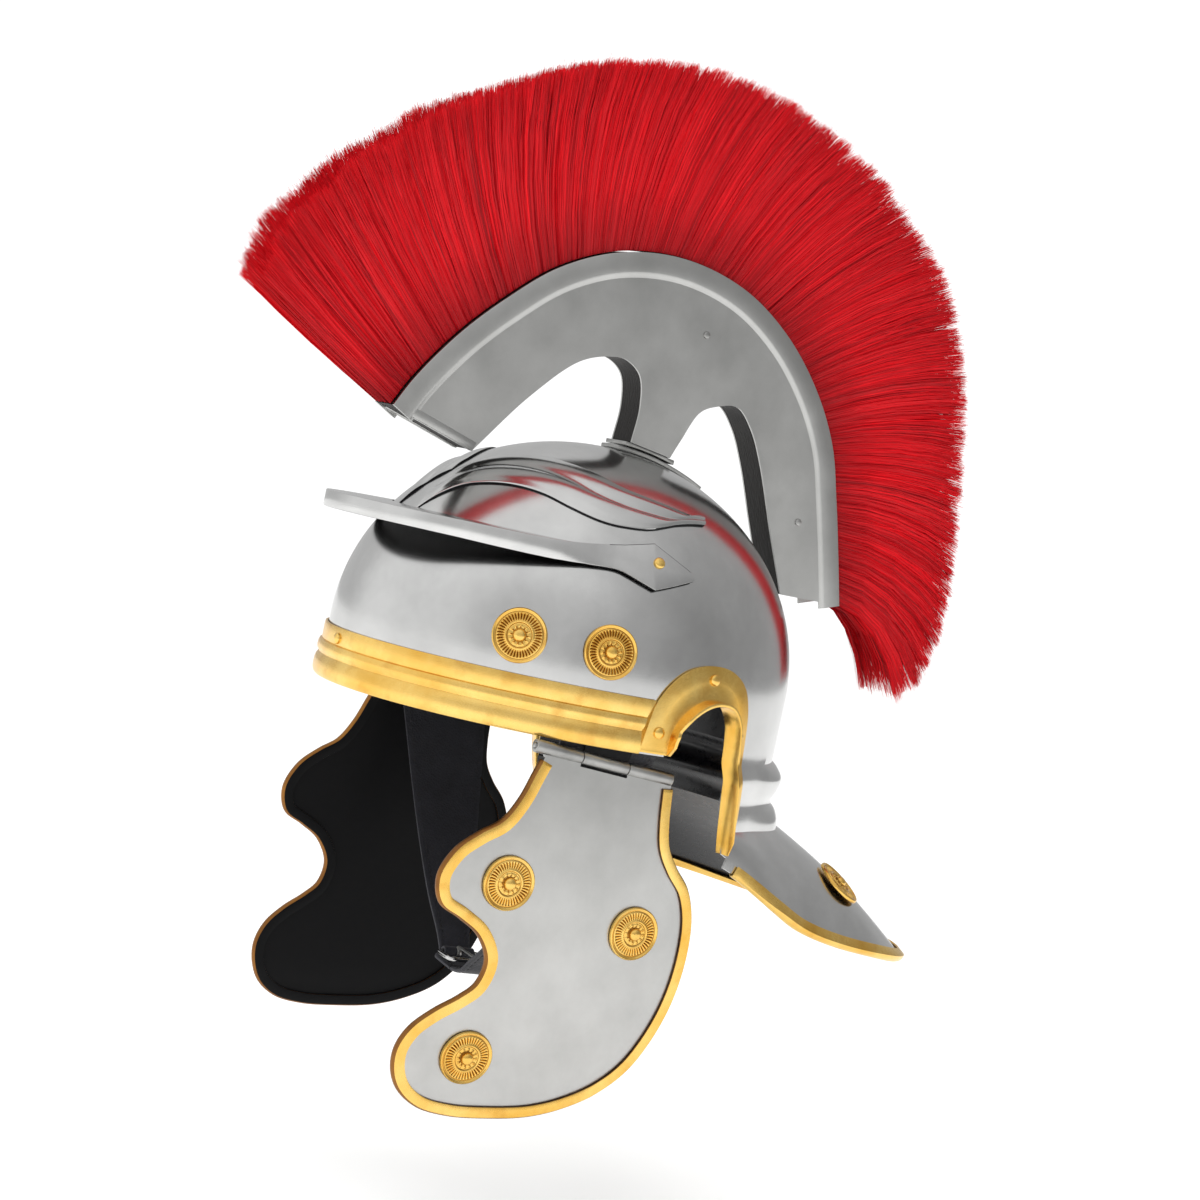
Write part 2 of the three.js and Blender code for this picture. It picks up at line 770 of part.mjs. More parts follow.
// A folded brass strip over the cheek's edge, all round but for the hinge side.
function cheekEdging() {
  const half = steelSheet / 2 + curvedClearance;
  const outer = insetOutline(cheekOutline, -clearance - brassSheet);
  const seat = insetOutline(cheekOutline, -clearance);
  const inner = insetOutline(cheekOutline, edgingWidth);
  const rings = [];
  cheekOutline.forEach((unused, i) => {
    if (inner[i][1] > -edgingTop || seat[i][1] > -edgingTop) return;
    const at = ([y, z], lift) => point(cheekX(y, z) + lift, y, z);
    rings.push([
      at(inner[i], half),
      at(inner[i], half + brassSheet),
      at(outer[i], half + brassSheet),
      at(outer[i], -half - brassSheet),
      at(inner[i], -half - brassSheet),
      at(inner[i], -half),
      at(seat[i], -half),
      at(seat[i], half),
    ]);
  });
  return loft(rings);
}

function cheekRosette(y, z) {
  const normal = point(1, (cheekX(y - 5, z) - cheekX(y + 5, z)) / 10, (cheekX(y, z - 5) - cheekX(y, z + 5)) / 10);
  const at = point(cheekX(y, z), y, z).addScaledVector(normal.normalize(), steelSheet / 2 + curvedClearance);
  return placed(rosette(), at, normal);
}

// Crest box, seen from the side
const crestOuterEdge = [
  // share of length, share of rise
  [0, 0.34],
  [0.029, 0.436],
  [0.094, 0.596],
  [0.169, 0.737],
  [0.259, 0.872],
  [0.374, 0.968],
  [0.507, 1],
  [0.644, 0.955],
  [0.755, 0.846],
  [0.845, 0.692],
  [0.906, 0.526],
  [0.942, 0.346],
  [0.971, 0.179],
  [1, 0],
];
const frontGap = [
  // share of length, share of rise
  [0.165, 0.256],
  [0.255, 0.462],
  [0.338, 0.603],
  [0.399, 0.641],
  [0.432, 0.641],
  [0.464, 0.603],
  [0.478, 0.506],
  [0.475, 0.388],
];
const rearGap = [
  // share of length, share of rise
  [0.561, 0.366],
  [0.576, 0.429],
  [0.604, 0.532],
  [0.637, 0.564],
  [0.683, 0.577],
  [0.723, 0.513],
  [0.759, 0.404],
  [0.809, 0.205],
  [0.863, 0],
];
const onCrest = (table, count) => throughTable(table, count, crestFront, crestLength, crestBase, crestRise);
const crestTop = onCrest(crestOuterEdge, 21);
const frontGapEdge = onCrest(frontGap, 12);
const rearGapEdge = onCrest(rearGap, 14);
const crestOutline = [...crestTop, ...rearGapEdge.slice().reverse(), ...frontGapEdge.slice().reverse()];
const crestPlateOuter = crestWidth / 2;

function crestPlate() {
  const sheet = plateAcross(crestOutline, crestPlateOuter - crestSheet, crestPlateOuter);
  const rim = [...crestTop, ...insetOutline(crestTop, -crestRimWidth).reverse()];
  return joined(sheet, plateAcross(rim, crestPlateOuter - crestSheet / 2, crestPlateOuter + crestRimRaise));
}

const crestCoreHalf = crestPlateOuter - crestSheet - clearance;
const crestCore = plateAcross(crestOutline, -crestCoreHalf, crestCoreHalf);

// The foot stands on a plate that lies on the dome, with a socket bracket round it.
const footFront = frontGapEdge[frontGapEdge.length - 1];
const footBack = rearGapEdge[0];

function domeStrip(from, to, halfWidth, low, high) {
  const rings = [];
  const steps = 6;
  for (let i = 0; i <= steps; i += 1) {
    const y = lerp(from, to, i / steps);
    const row = [-halfWidth, 0, halfWidth];
    rings.push([...row.map((x) => domePoint(x, y, high)), ...row.reverse().map((x) => domePoint(x, y, low))]);
  }
  return loft(rings);
}

const socketLow = curvedClearance;
const socketHigh = socketLow + footPlateSheet;
const crestSocket = domeStrip(footFront[0] - socketFront, footBack[0] + socketRear, socketHalfWidth, socketLow, socketHigh);

function crestFoot() {
  const from = footFront[0] - footReach;
  const to = footBack[0] + footReach;
  const slope = (footBack[1] - footFront[1]) / (footBack[0] - footFront[0]);
  const under = (y) => footFront[1] + (y - footFront[0]) * slope - clearance;
  const low = [0, 0.25, 0.5, 0.75, 1].map((share) => {
    const y = lerp(from, to, share);
    return [y, domePoint(0, y, 0).z + socketHigh + curvedClearance];
  });
  return plateAcross([...low, [to, under(to)], [from, under(from)]], -crestPlateOuter, crestPlateOuter);
}

function crestNail(share, depthShare) {
  const y = crestFront + share * crestLength;
  const z = crestBase + depthShare * crestRise;
  return placed(dome(nailRadius, nailHeight), point(crestPlateOuter + clearance, y, z), point(1, 0, 0));
}

// Hair: locks that fan out from the crest's outer edge, fused to a backing strip
const hairEdge = [
  // share of length, share of rise
  [-0.288, 0.635],
  [-0.27, 0.795],
  [-0.216, 0.923],
  [-0.162, 1.045],
  [-0.094, 1.147],
  [-0.022, 1.263],
  [0.061, 1.346],
  [0.147, 1.429],
  [0.241, 1.519],
  [0.342, 1.571],
  [0.446, 1.603],
  [0.554, 1.603],
  [0.665, 1.575],
  [0.766, 1.519],
  [0.867, 1.44],
  [0.96, 1.33],
  [1.05, 1.2],
  [1.12, 1.03],
  [1.165, 0.84],
  [1.195, 0.64],
  [1.215, 0.45],
  [1.232, 0.25],
  [1.24, 0.06],
  [1.232, -0.1],
  [1.209, -0.22],
  [1.165, -0.288],
];
const lockCount = 18;
const hairClear = 0.8;
const hairBacking = 5;
const hairRoots = insetOutline(onCrest(crestOuterEdge, lockCount * 4), hairClear);
const hairTips = onCrest(hairEdge, lockCount * 4);

function hairLock(index) {
  const from = Math.max(0, index * 4 - 1);
  const to = Math.min(lockCount * 4, index * 4 + 5);
  const length = 1 - 0.035 * ((index * 7) % 5) / 4;
  const fullness = 0.86 + 0.14 * ((index * 3) % 4) / 3;
  const stations = [[0.02, 0], [0.92, 0], [1, 0.1]];
  return loft(stations.map(([out, narrow]) => {
    const share = out * length;
    const half = lerp(hairRootWidth, hairTipWidth, out) / 2 * fullness * (out === 1 ? 0.7 : 1);
    const at = (i) => {
      const [low, high] = [Math.floor(i), Math.ceil(i)].map((n) => (
        [0, 1].map((k) => lerp(hairRoots[n][k], hairTips[n][k], share))));
      return [(low[0] + high[0]) / 2, (low[1] + high[1]) / 2];
    };
    const [y0, z0] = at(from);
    const [y1, z1] = at(to);
    const a = [lerp(y0, y1, narrow), lerp(z0, z1, narrow)];
    const b = [lerp(y1, y0, narrow), lerp(z1, z0, narrow)];
    const m = at((from + to) / 2);
    return [
      point(half * 0.72, a[0], a[1]),
      point(half, m[0], m[1]),
      point(half * 0.72, b[0], b[1]),
      point(-half * 0.72, b[0], b[1]),
      point(-half, m[0], m[1]),
      point(-half * 0.72, a[0], a[1]),
    ];
  }));
}

function plume() {
  const everyOther = (line) => line.filter((p, i) => i % 2 === 0);
  const backingOutline = [...everyOther(hairRoots), ...everyOther(insetOutline(hairRoots, hairBacking)).reverse()];
  const locks = Array.from({ length: lockCount }, (unused, i) => hairLock(i));
  return joined(plateAcross(backingOutline, -hairRootWidth / 2, hairRootWidth / 2), ...locks);
}

// Chin strap: a wide leather band from inside each side of the bowl, down under the chin

const strapRoute = [
  // share of the hinge offset, forward place, share of depth, width share
  [1.003, -16, -0.08, 1],
  [0.984, -15, -0.01, 1],
  [0.935, -14, 0.05, 0.98],
  [0.87, -12, 0.18, 0.92],
  [0.76, -10, 0.4, 0.8],
  [0.6, -10, 0.62, 0.66],
  [0.4, -12, 0.82, 0.5],
  [0.2, -15.5, 0.95, 0.36],
];

function strapRings(drop) {
  return strapRoute.map(([out, forward, depth, width], i) => {
    const w = lerp(strapEndWidth, strapTopWidth, (width - 0.33) / 0.67);
    const [o0, , d0] = strapRoute[Math.max(0, i - 1)];
    const [o1, , d1] = strapRoute[Math.min(strapRoute.length - 1, i + 1)];
    const run = point((o1 - o0) * hingeOffset, 0, -(d1 - d0) * strapDepth).normalize();
    const inward = point(run.z, 0, -run.x);
    const z = -depth * strapDepth - drop * THREE.MathUtils.smoothstep(depth, 0.5, 1);
    const ring = [];
    const edge = [-0.5, 0, 0.5];
    const bend = i < 3 ? 1 - 0.4 * i : 0;
    const at = (share, lift) => {
      const y = forward + share * w;
      const curve = bend * (sideX(y, 5) - sideX(forward, 5));
      return point(out * hingeOffset + curve, y, z).addScaledVector(inward, lift);
    };
    edge.forEach((share) => ring.push(at(share, strapThickness / 2)));
    edge.slice().reverse().forEach((share) => ring.push(at(share, -strapThickness / 2)));
    return ring;
  });
}

function strapBand(endX, drop) {
  const rings = strapRings(drop);
  const last = (x) => {
    const w = strapEndWidth;
    const z = -strapDepth - drop;
    const edge = [-0.5, 0, 0.5];
    return [
      ...edge.map((share) => point(x, strapForward + share * w, z + strapThickness / 2)),
      ...edge.slice().reverse().map((share) => point(x, strapForward + share * w, z - strapThickness / 2)),
    ];
  };
  const mouth = buckleLength / 2 + buckleMouth;
  return loft([...rings, last(mouth), last(endX)]);
}

const buckleBar = -buckleLength / 2;
const sleeveRadius = buckleWire + clearance + sleeveWall;

function sleeve(from, to) {
  const bore = buckleWire + clearance;
  const profile = [[bore, 0], [sleeveRadius, 0], [sleeveRadius, to - from], [bore, to - from], [bore, 0]];
  const ring = new THREE.LatheGeometry(profile.map(([r, z]) => new THREE.Vector2(r, z)), 10);
  return ring.translate(buckleBar, from, -strapDepth);
}

const strapEdgeFront = strapForward - strapEndWidth / 2;
const strapEdgeBack = strapForward + strapEndWidth / 2;

// The half that holds the buckle ends in two loops round the buckle's bar.
function strapWithLoops() {
  const end = -buckleBar + (sleeveRadius + buckleWire + clearance) / 2;
  const band = mirrored(strapBand(end, 0));
  const front = sleeve(strapEdgeFront, strapForward - tongueWidth / 2 - clearance);
  const back = sleeve(strapForward + tongueWidth / 2 + clearance, strapEdgeBack);
  const reach = sleeveRadius + strapThickness;
  const slotHalf = tongueWidth / 2 + clearance;
  const slot = plateAcross([
    [strapForward - slotHalf, -strapDepth - reach],
    [strapForward + slotHalf, -strapDepth - reach],
    [strapForward + slotHalf, -strapDepth + reach],
    [strapForward - slotHalf, -strapDepth + reach],
  ], buckleBar - reach, buckleBar + reach);
  const boreRadius = buckleWire + clearance;
  const bore = new THREE.CylinderGeometry(boreRadius, boreRadius, 1.25 * strapEndWidth, 10)
    .translate(buckleBar, strapForward, -strapDepth);
  return cutBy(joined(band, front, back), slot, bore);
}

const strapTail = strapBand(-buckleLength / 2 - tailPastBuckle, tailDrop);

function buckleFrame() {
  const halfWidth = strapEndWidth / 2 + buckleSide;
  const halfLength = buckleLength / 2;
  const path = new THREE.CurvePath();
  const corners = [[halfLength, halfWidth], [-halfLength, halfWidth], [-halfLength, -halfWidth], [halfLength, -halfWidth]];
  const at = ([x, y]) => point(x, strapForward + y, -strapDepth);
  corners.forEach((corner, i) => {
    const before = at(corners[(i + 3) % 4]);
    const here = at(corner);
    const after = at(corners[(i + 1) % 4]);
    const enter = here.clone().add(before.clone().sub(here).setLength(buckleRound));
    const leave = here.clone().add(after.clone().sub(here).setLength(buckleRound));
    path.add(new THREE.QuadraticBezierCurve3(enter, here, leave));
    path.add(new THREE.LineCurve3(leave, after.clone().add(here.clone().sub(after).setLength(buckleRound))));
  });
  const samples = path.getSpacedPoints(18).slice(0, -1);
  const centre = at([0, 0]);
  const sides = 6;
  const points = [];
  const triangles = [];
  samples.forEach((p, i) => {
    const ahead = samples[(i + 1) % samples.length].clone().sub(samples[(i + samples.length - 1) % samples.length]);
    const out = ahead.cross(point(0, 0, 1)).normalize();
    out.multiplyScalar(Math.sign(out.dot(p.clone().sub(centre))));
    for (let k = 0; k < sides; k += 1) {
      const turn = 2 * Math.PI * k / sides;
      points.push(p.clone().addScaledVector(out, buckleWire * Math.cos(turn)).add(point(0, 0, buckleWire * Math.sin(turn))));
      const a = i * sides + k;
      const b = i * sides + (k + 1) % sides;
      const c = (a + sides) % (samples.length * sides);
      const d = (b + sides) % (samples.length * sides);
      triangles.push([a, b, d], [a, d, c]);
    }
  });
  return geometryFrom(points, triangles);
}

function buckleTongue() {
  const ring = sleeve(strapForward - tongueWidth / 2, strapForward + tongueWidth / 2);
  const top = -strapDepth + buckleWire + clearance;
  const tip = buckleLength / 2 + 2 * buckleWire;
  const tipLift = tongueLift / 2;
  const outline = [
    [buckleBar, top + tongueLift],
    [buckleBar, top + tongueLift + tongueHeight],
    [tip, top + tipLift + tongueHeight],
    [tip, top + tipLift],
  ];
  const rod = loft([-tongueWidth / 2, tongueWidth / 2].map((side) => outline.map(([x, z]) => (
    point(x, strapForward + side * 0.9, z)))));
  return joined(ring, rod);
}

function strapRivet() {
  const [top, next] = strapRoute.map(([out, forward, depth]) => point(out * hingeOffset, forward, -depth * strapDepth));
  const run = next.clone().sub(top).normalize();
  const inward = point(run.z, 0, -run.x);
  const at = top.lerp(next, 0.5).addScaledVector(inward, strapThickness / 2 + 2 * curvedClearance);
  return placed(dome(rivetRadius * 1.3, rivetHeight), at, inward);
}

// Assembly

const helmet = new THREE.Group();
const cheekLeft = new THREE.Group();
const cheekRight = new THREE.Group();
helmet.add(cheekLeft, cheekRight);

function add(group, name, geometry, finish) {
  const mesh = new THREE.Mesh(geometry, material(finish));
  mesh.name = name;
  group.add(mesh);
}

function addPair(groups, name, geometry, finish) {
  add(groups[0], `${name}_left`, geometry, finish);
  add(groups[1], `${name}_right`, mirrored(geometry), finish);
}

const onBowl = [helmet, helmet];
const onCheeks = [cheekLeft, cheekRight];

add(helmet, 'bowl', bowl, 'steel');
add(helmet, 'brow_band', browBand(), 'brass');
const browRivetAt = skullPoint(Math.PI, bandHeight * 0.8, curvedClearance + 0.4 * (brassSheet + bandRidge) + clearance);
add(helmet, 'brow_rivet', placed(dome(rivetRadius, rivetHeight), browRivetAt, point(0, -1, 0)), 'brass');

add(helmet, 'peak', peakStrip(), 'steel');
const peakRivetAt = skullPoint((180 - peakRivetAngle) * degrees, peakHeight - peakRivetDrop, peakClearance + peakSheet + clearance);
addPair(onBowl, 'peak_rivet', placed(dome(rivetRadius, rivetHeight), peakRivetAt, skullNormal(peakRivetAt)), 'brass');

addPair(onBowl, 'ear_guard', earGuard(), 'brass');
[[0.02, 0.86], [-0.55, 0.24], [0.55, 0.3]].forEach(([y, z], i) => {
  const at = point(sideX(earCentre + y * earHeight, z * earHeight), earCentre + y * earHeight, z * earHeight);
  const normal = skullNormal(at);
  at.addScaledVector(normal, curvedClearance + brassSheet + 2 * clearance);
  addPair(onBowl, `ear_rivet_${i + 1}`, placed(dome(rivetRadius, rivetHeight), at, normal), 'brass');
});

add(helmet, 'neck_edging', neckEdging(), 'brass');

const bowlRosettes = [['front', -0.57, 0.36], ['side', -0.24, 0.365]];
bowlRosettes.forEach(([place, y, z]) => {
  const seat = sidePoint(y * bowlHalfLength, z * bowlHalfLength, curvedClearance);
  addPair(onBowl, `rosette_bowl_${place}`, placed(rosette(), seat, skullNormal(seat)), 'brass');
});

function guardRosette() {
  const angle = 30 * degrees;
  const column = bowlColumn(angle);
  const share = (k) => column[column.length - 1 - k];
  const middle = share(1).clone();
  const along = share(0).clone().sub(share(2)).normalize();
  const aside = bowlColumn(angle + 0.1)[column.length - 2].clone().sub(bowlColumn(angle - 0.1)[column.length - 2]);
  const normal = along.cross(aside).normalize();
  normal.multiplyScalar(Math.sign(normal.z));
  return placed(rosette(), middle.addScaledVector(normal, 2 * curvedClearance), normal);
}

addPair(onBowl, 'rosette_neck', guardRosette(), 'brass');

addPair(onCheeks, 'cheek_plate', cheekPlate(), 'steel');
addPair(onCheeks, 'cheek_edging', cheekEdging(), 'brass');
[['nose', 0.25, 0.38], ['rear', 0.77, 0.475], ['chin', 0.25, 0.846]].forEach(([place, y, z]) => {
  addPair(onCheeks, `rosette_cheek_${place}`, cheekRosette(cheekFront + y * cheekWidth, -z * cheekLength), 'brass');
});
addPair(onBowl, 'hinge_leaf', hingeLeaf(), 'hinge');
addPair(onBowl, 'hinge_pin', hingePin, 'hinge');

addPair(onBowl, 'crest_plate', crestPlate(), 'steel');
add(helmet, 'crest_core', crestCore, 'wood');
add(helmet, 'crest_foot', crestFoot(), 'hinge');
add(helmet, 'crest_socket', crestSocket, 'hinge');
addPair(onBowl, 'crest_nail_top', crestNail(0.583, 0.782), 'hinge');
addPair(onBowl, 'crest_nail_rear', crestNail(0.867, 0.25), 'hinge');
add(helmet, 'plume', plume(), 'hair');

add(helmet, 'chin_strap_left', strapTail, 'leather');
add(helmet, 'chin_strap_right', strapWithLoops(), 'leather');
addPair(onBowl, 'strap_rivet', strapRivet(), 'hinge');
add(helmet, 'buckle_frame', buckleFrame(), 'hinge');
add(helmet, 'buckle_tongue', buckleTongue(), 'hinge');

helmet.traverse((object) => {
  if (object.isMesh) object.geometry.computeVertexNormals();
});

export default helmet;
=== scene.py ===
import math
import bmesh
import bpy
import numpy as np
from mathutils import Matrix, Vector


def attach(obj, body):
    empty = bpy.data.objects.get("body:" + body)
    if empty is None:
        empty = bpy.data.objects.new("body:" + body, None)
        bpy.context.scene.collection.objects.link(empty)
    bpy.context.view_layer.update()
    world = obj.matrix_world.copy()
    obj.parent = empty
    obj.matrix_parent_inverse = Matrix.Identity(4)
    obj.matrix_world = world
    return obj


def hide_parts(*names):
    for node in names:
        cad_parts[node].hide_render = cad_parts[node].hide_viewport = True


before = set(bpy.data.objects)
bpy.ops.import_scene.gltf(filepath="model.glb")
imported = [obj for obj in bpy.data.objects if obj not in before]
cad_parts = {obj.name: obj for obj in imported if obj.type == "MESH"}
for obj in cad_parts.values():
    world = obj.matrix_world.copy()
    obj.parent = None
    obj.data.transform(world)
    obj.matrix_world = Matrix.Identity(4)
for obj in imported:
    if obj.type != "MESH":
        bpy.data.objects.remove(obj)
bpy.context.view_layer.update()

# Roman legionary helmet: steel bowl with a neck guard, brass trim, hinged cheek guards,
# a leather chin strap and a tall crest with a brush of red hair.
# Everything is worked out in millimetres and turned to metres where a mesh is made.

sides = {"left": 1, "right": -1}
degree = math.pi / 180
print("frame loaded,", len(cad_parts), "solids")


# Lines, tables and meshes

def smoothLine(rows, count, closed=False):  # a round line through a few points, evenly spaced
    points = np.array(rows, float)
    before = points[-1:] if closed else 2 * points[:1] - points[1:2]
    after = points[:2] if closed else 2 * points[-1:] - points[-2:-1]
    points = np.vstack([before, points, after])
    line = []
    for i in range(1, len(points) - 2):
        p = points[i - 1:i + 3]
        steps = np.maximum(np.linalg.norm(np.diff(p, axis=0), axis=1), 1e-9) ** 0.5
        t = np.concatenate([[0], np.cumsum(steps)])
        u = np.linspace(t[1], t[2], 24, endpoint=False)[:, None]
        a = [((t[k + 1] - u) * p[k] + (u - t[k]) * p[k + 1]) / (t[k + 1] - t[k]) for k in range(3)]
        b = [((t[k + 2] - u) * a[k] + (u - t[k]) * a[k + 1]) / (t[k + 2] - t[k]) for k in range(2)]
        line.append(((t[2] - u) * b[0] + (u - t[1]) * b[1]) / (t[2] - t[1]))
    line.append(points[-2:-1])
    line = np.vstack(line)
    run = np.concatenate([[0], np.cumsum(np.linalg.norm(np.diff(line, axis=0), axis=1))])
    at = np.linspace(0, run[-1], count + 1)[:-1] if closed else np.linspace(0, run[-1], count)
    return np.column_stack([np.interp(at, run, line[:, k]) for k in range(line.shape[1])])


def readTable(rows, at, column, smooth=True):  # one column of a table against its first column
    table = np.array(rows, float)[:, [0, column]]
    if smooth:
        table = smoothLine(table, 600)
    return np.interp(at, table[:, 0], table[:, 1])


def smoothStep(at, low, high):
    t = np.clip((np.asarray(at, float) - low) / (high - low), 0, 1)
    return t * t * (3 - 2 * t)


def spread(x, y, z):  # three arrays, or numbers, as one array of points
    return np.stack(np.broadcast_arrays(np.asarray(x, float), np.asarray(y, float), np.asarray(z, float)),
                    -1)


def unit(v):
    return v / np.maximum(np.linalg.norm(v, axis=-1, keepdims=True), 1e-12)


def gridFaces(rows, across, around=False, start=0):  # quads over rows of points
    i, k = np.meshgrid(np.arange(rows - 1), np.arange(across if around else across - 1), indexing="ij")
    j = (k + 1) % across
    quads = np.stack([i * across + k, i * across + j, (i + 1) * across + j, (i + 1) * across + k], -1)
    return (quads.reshape(-1, 4) + start).tolist()


def loft(rings, closed=False):  # a body through rings of the same number of points
    rings = np.asarray(rings, float)
    count, across = rings.shape[:2]
    faces = gridFaces(count, across, around=True)
    if closed:
        last = (count - 1) * across
        faces += [[last + k, last + (k + 1) % across, (k + 1) % across, k] for k in range(across)]
    else:
        faces += [list(range(across))[::-1], [(count - 1) * across + k for k in range(across)]]
    return rings.reshape(-1, 3), faces


def plateAcross(outline, low, high):  # a flat plate between two places along X
    outline = np.asarray(outline, float)
    return loft([spread(x, outline[:, 0], outline[:, 1]) for x in (low, high)])


def joined(*shapes):
    points, faces, start = [], [], 0
    for verts, polygons in shapes:
        points.append(np.asarray(verts, float))
        faces += [[v + start for v in face] for face in polygons]
        start += len(verts)
    return np.vstack(points), faces


def onSide(shape, side):  # the same shape on the wearer's other side
    if side > 0:
        return shape
    verts, faces = shape
    return verts * [-1, 1, 1], [face[::-1] for face in faces]


def turned(shape, at, normal):  # stands a shape made round +Z on a point, along a normal
    verts, faces = shape
    turn = np.array(Vector((0, 0, 1)).rotation_difference(Vector(normal)).to_matrix())
    return verts @ turn.T + at, faces


def lathe(profile, around):  # rows of radius and height from the middle of the back to the top
    profile = np.asarray(profile, float)
    turn = np.linspace(0, 2 * math.pi, around, endpoint=False)
    rings = [spread(r * np.cos(turn), r * np.sin(turn), z) for r, z in profile]
    return loft(rings)


def outward(mesh):
    form = bmesh.new()
    form.from_mesh(mesh)
    bmesh.ops.recalc_face_normals(form, faces=form.faces)
    form.to_mesh(mesh)
    form.free()


def applyModifiers(piece):
    graph = bpy.context.evaluated_depsgraph_get()
    made = bpy.data.meshes.new_from_object(piece.evaluated_get(graph))
    piece.modifiers.clear()
    piece.data = made
    piece.data.name = piece.name


def addPiece(name, shape, finish, body="helmet", nodes=(), bevel=0, angle=35, steps=2, turnOut=True):
    mesh = bpy.data.meshes.new(name)
    verts, faces = shape
    mesh.from_pydata((np.asarray(verts, float) / 1000).tolist(), [], faces)
    if turnOut:
        outward(mesh)
    piece = bpy.data.objects.new(name, mesh)
    bpy.context.scene.collection.objects.link(piece)
    for material in finish if isinstance(finish, list) else [finish]:
        mesh.materials.append(material)
    if bevel:
        cut = piece.modifiers.new("edge", "BEVEL")
        cut.width = bevel / 1000
        cut.segments = steps
        cut.limit_method = "ANGLE"
        cut.angle_limit = angle * degree
        cut.use_clamp_overlap = True
        applyModifiers(piece)
    piece.data.shade_smooth()
    piece.data.set_sharp_from_angle(angle=angle * degree)
    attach(piece, body)
    if nodes:
        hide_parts(*nodes)
    return piece


# Finishes

def toLinear(colour):  # an sRGB hex value as linear light
    parts = [int(colour[i:i + 2], 16) / 255 for i in (1, 3, 5)]
    return [p / 12.92 if p <= 0.04045 else ((p + 0.055) / 1.055) ** 2.4 for p in parts] + [1]


def addNode(tree, kind, settings=None, values=None, links=None):  # one node with its settings and links
    made = tree.nodes.new(kind)
    for key, value in (settings or {}).items():
        setattr(made, key, value)
    for key, value in (values or {}).items():
        made.inputs[key].default_value = value
    for key, source in (links or {}).items():
        tree.links.new(source, made.inputs[key])
    return made


def newMaterial(name):
    made = bpy.data.materials.new(name)
    made.use_nodes = True
    made.node_tree.nodes.clear()
    return made, made.node_tree


def perMetre(millimetres):  # how often a pattern of this size repeats in a metre
    return 1000 / millimetres


def closeMaterial(tree, values, links):
    shader = addNode(tree, "ShaderNodeBsdfPrincipled", values=values, links=links)
    addNode(tree, "ShaderNodeOutputMaterial", links={"Surface": shader.outputs[0]})


# Sheet metals share one recipe: a drifting tone, fine polishing lines and a soft cloudiness.
# Real polishing lines are about 0.1 mm apart; they are drawn coarser, so that they show.
def sheetMetal(name, light, dark, rough, roughDrift, lineSize, lineDepth, waveSize, waveDepth, tarnish=None):
    material, tree = newMaterial(name)
    place = addNode(tree, "ShaderNodeTexCoord").outputs["Object"]
    cloud = addNode(tree, "ShaderNodeTexNoise",
                    values={"Scale": perMetre(34), "Detail": 5.0, "Roughness": 0.6},
                    links={"Vector": place})
    tone = addNode(tree, "ShaderNodeMapRange", values={"From Min": 0.3, "From Max": 0.72},
                   links={"Value": cloud.outputs[0]})
    colour = addNode(tree, "ShaderNodeMix", {"data_type": "RGBA"}, {6: toLinear(dark), 7: toLinear(light)},
                     {0: tone.outputs[0]}).outputs[2]
    stretch = addNode(tree, "ShaderNodeMapping", values={"Scale": (1, 1, 14)}, links={"Vector": place})
    lines = addNode(tree, "ShaderNodeTexNoise", values={"Scale": perMetre(lineSize), "Detail": 3.0},
                    links={"Vector": stretch.outputs[0]})
    wave = addNode(tree, "ShaderNodeTexNoise", values={"Scale": perMetre(waveSize), "Detail": 1.0},
                   links={"Vector": place})
    drift = addNode(tree, "ShaderNodeMath", {"operation": "MULTIPLY_ADD"},
                    {1: roughDrift, 2: rough - roughDrift / 2},
                    {0: cloud.outputs[0]})
    grain = addNode(tree, "ShaderNodeMath", {"operation": "MULTIPLY_ADD"}, {1: 0.08},
                    {0: lines.outputs[0], 2: drift.outputs[0]})
    if tarnish:  # a darker skin where the polishing wheel doesn't reach
        patch = addNode(tree, "ShaderNodeTexNoise", values={"Scale": perMetre(11), "Detail": 6.0},
                        links={"Vector": place})
        share = addNode(tree, "ShaderNodeMapRange",
                        values={"From Min": 0.52, "From Max": 0.8, "To Max": 0.55},
                        links={"Value": patch.outputs[0]})
        colour = addNode(tree, "ShaderNodeMix", {"data_type": "RGBA"}, {7: toLinear(tarnish)},
                         {0: share.outputs[0], 6: colour}).outputs[2]
    swell = addNode(tree, "ShaderNodeBump", values={"Strength": 1.0, "Distance": waveDepth / 1000},
                    links={"Height": wave.outputs[0]})
    scratch = addNode(tree, "ShaderNodeBump", values={"Strength": 1.0, "Distance": lineDepth / 1000},
                      links={"Height": lines.outputs[0], "Normal": swell.outputs[0]})
    closeMaterial(tree, {"Metallic": 1.0},
                  {"Base Color": colour, "Roughness": grain.outputs[0], "Normal": scratch.outputs[0]})
    return material


# Polished mild steel: hammered over a stake and buffed, so it mirrors softly with faint waves.
polishedSteel = sheetMetal("polished mild steel", "#d6d6d5", "#c4c4c3", 0.15, 0.08, 0.9, 0.002, 26, 0.05)
# Brushed mild steel: the flat guards and the crest box, satin with fine lines.
brushedSteel = sheetMetal("brushed mild steel", "#c4c4c2", "#b2b2b0", 0.28, 0.12, 0.7, 0.006, 30, 0.04)
# Dull iron fittings: hinge barrels, nails and the crest socket, greyer and rougher.
dullIron = sheetMetal("dull iron fitting", "#b9b9b7", "#989896", 0.36, 0.14, 0.8, 0.008, 9, 0.03,
                      tarnish="#5f5f5e")
# Polished brass sheet: warm yellow, buffed, with slightly orange drifts.
polishedBrass = sheetMetal("polished brass sheet", "#fad680", "#e4b04c", 0.22, 0.12, 0.8, 0.004, 14, 0.04,
                           tarnish="#c8892e")
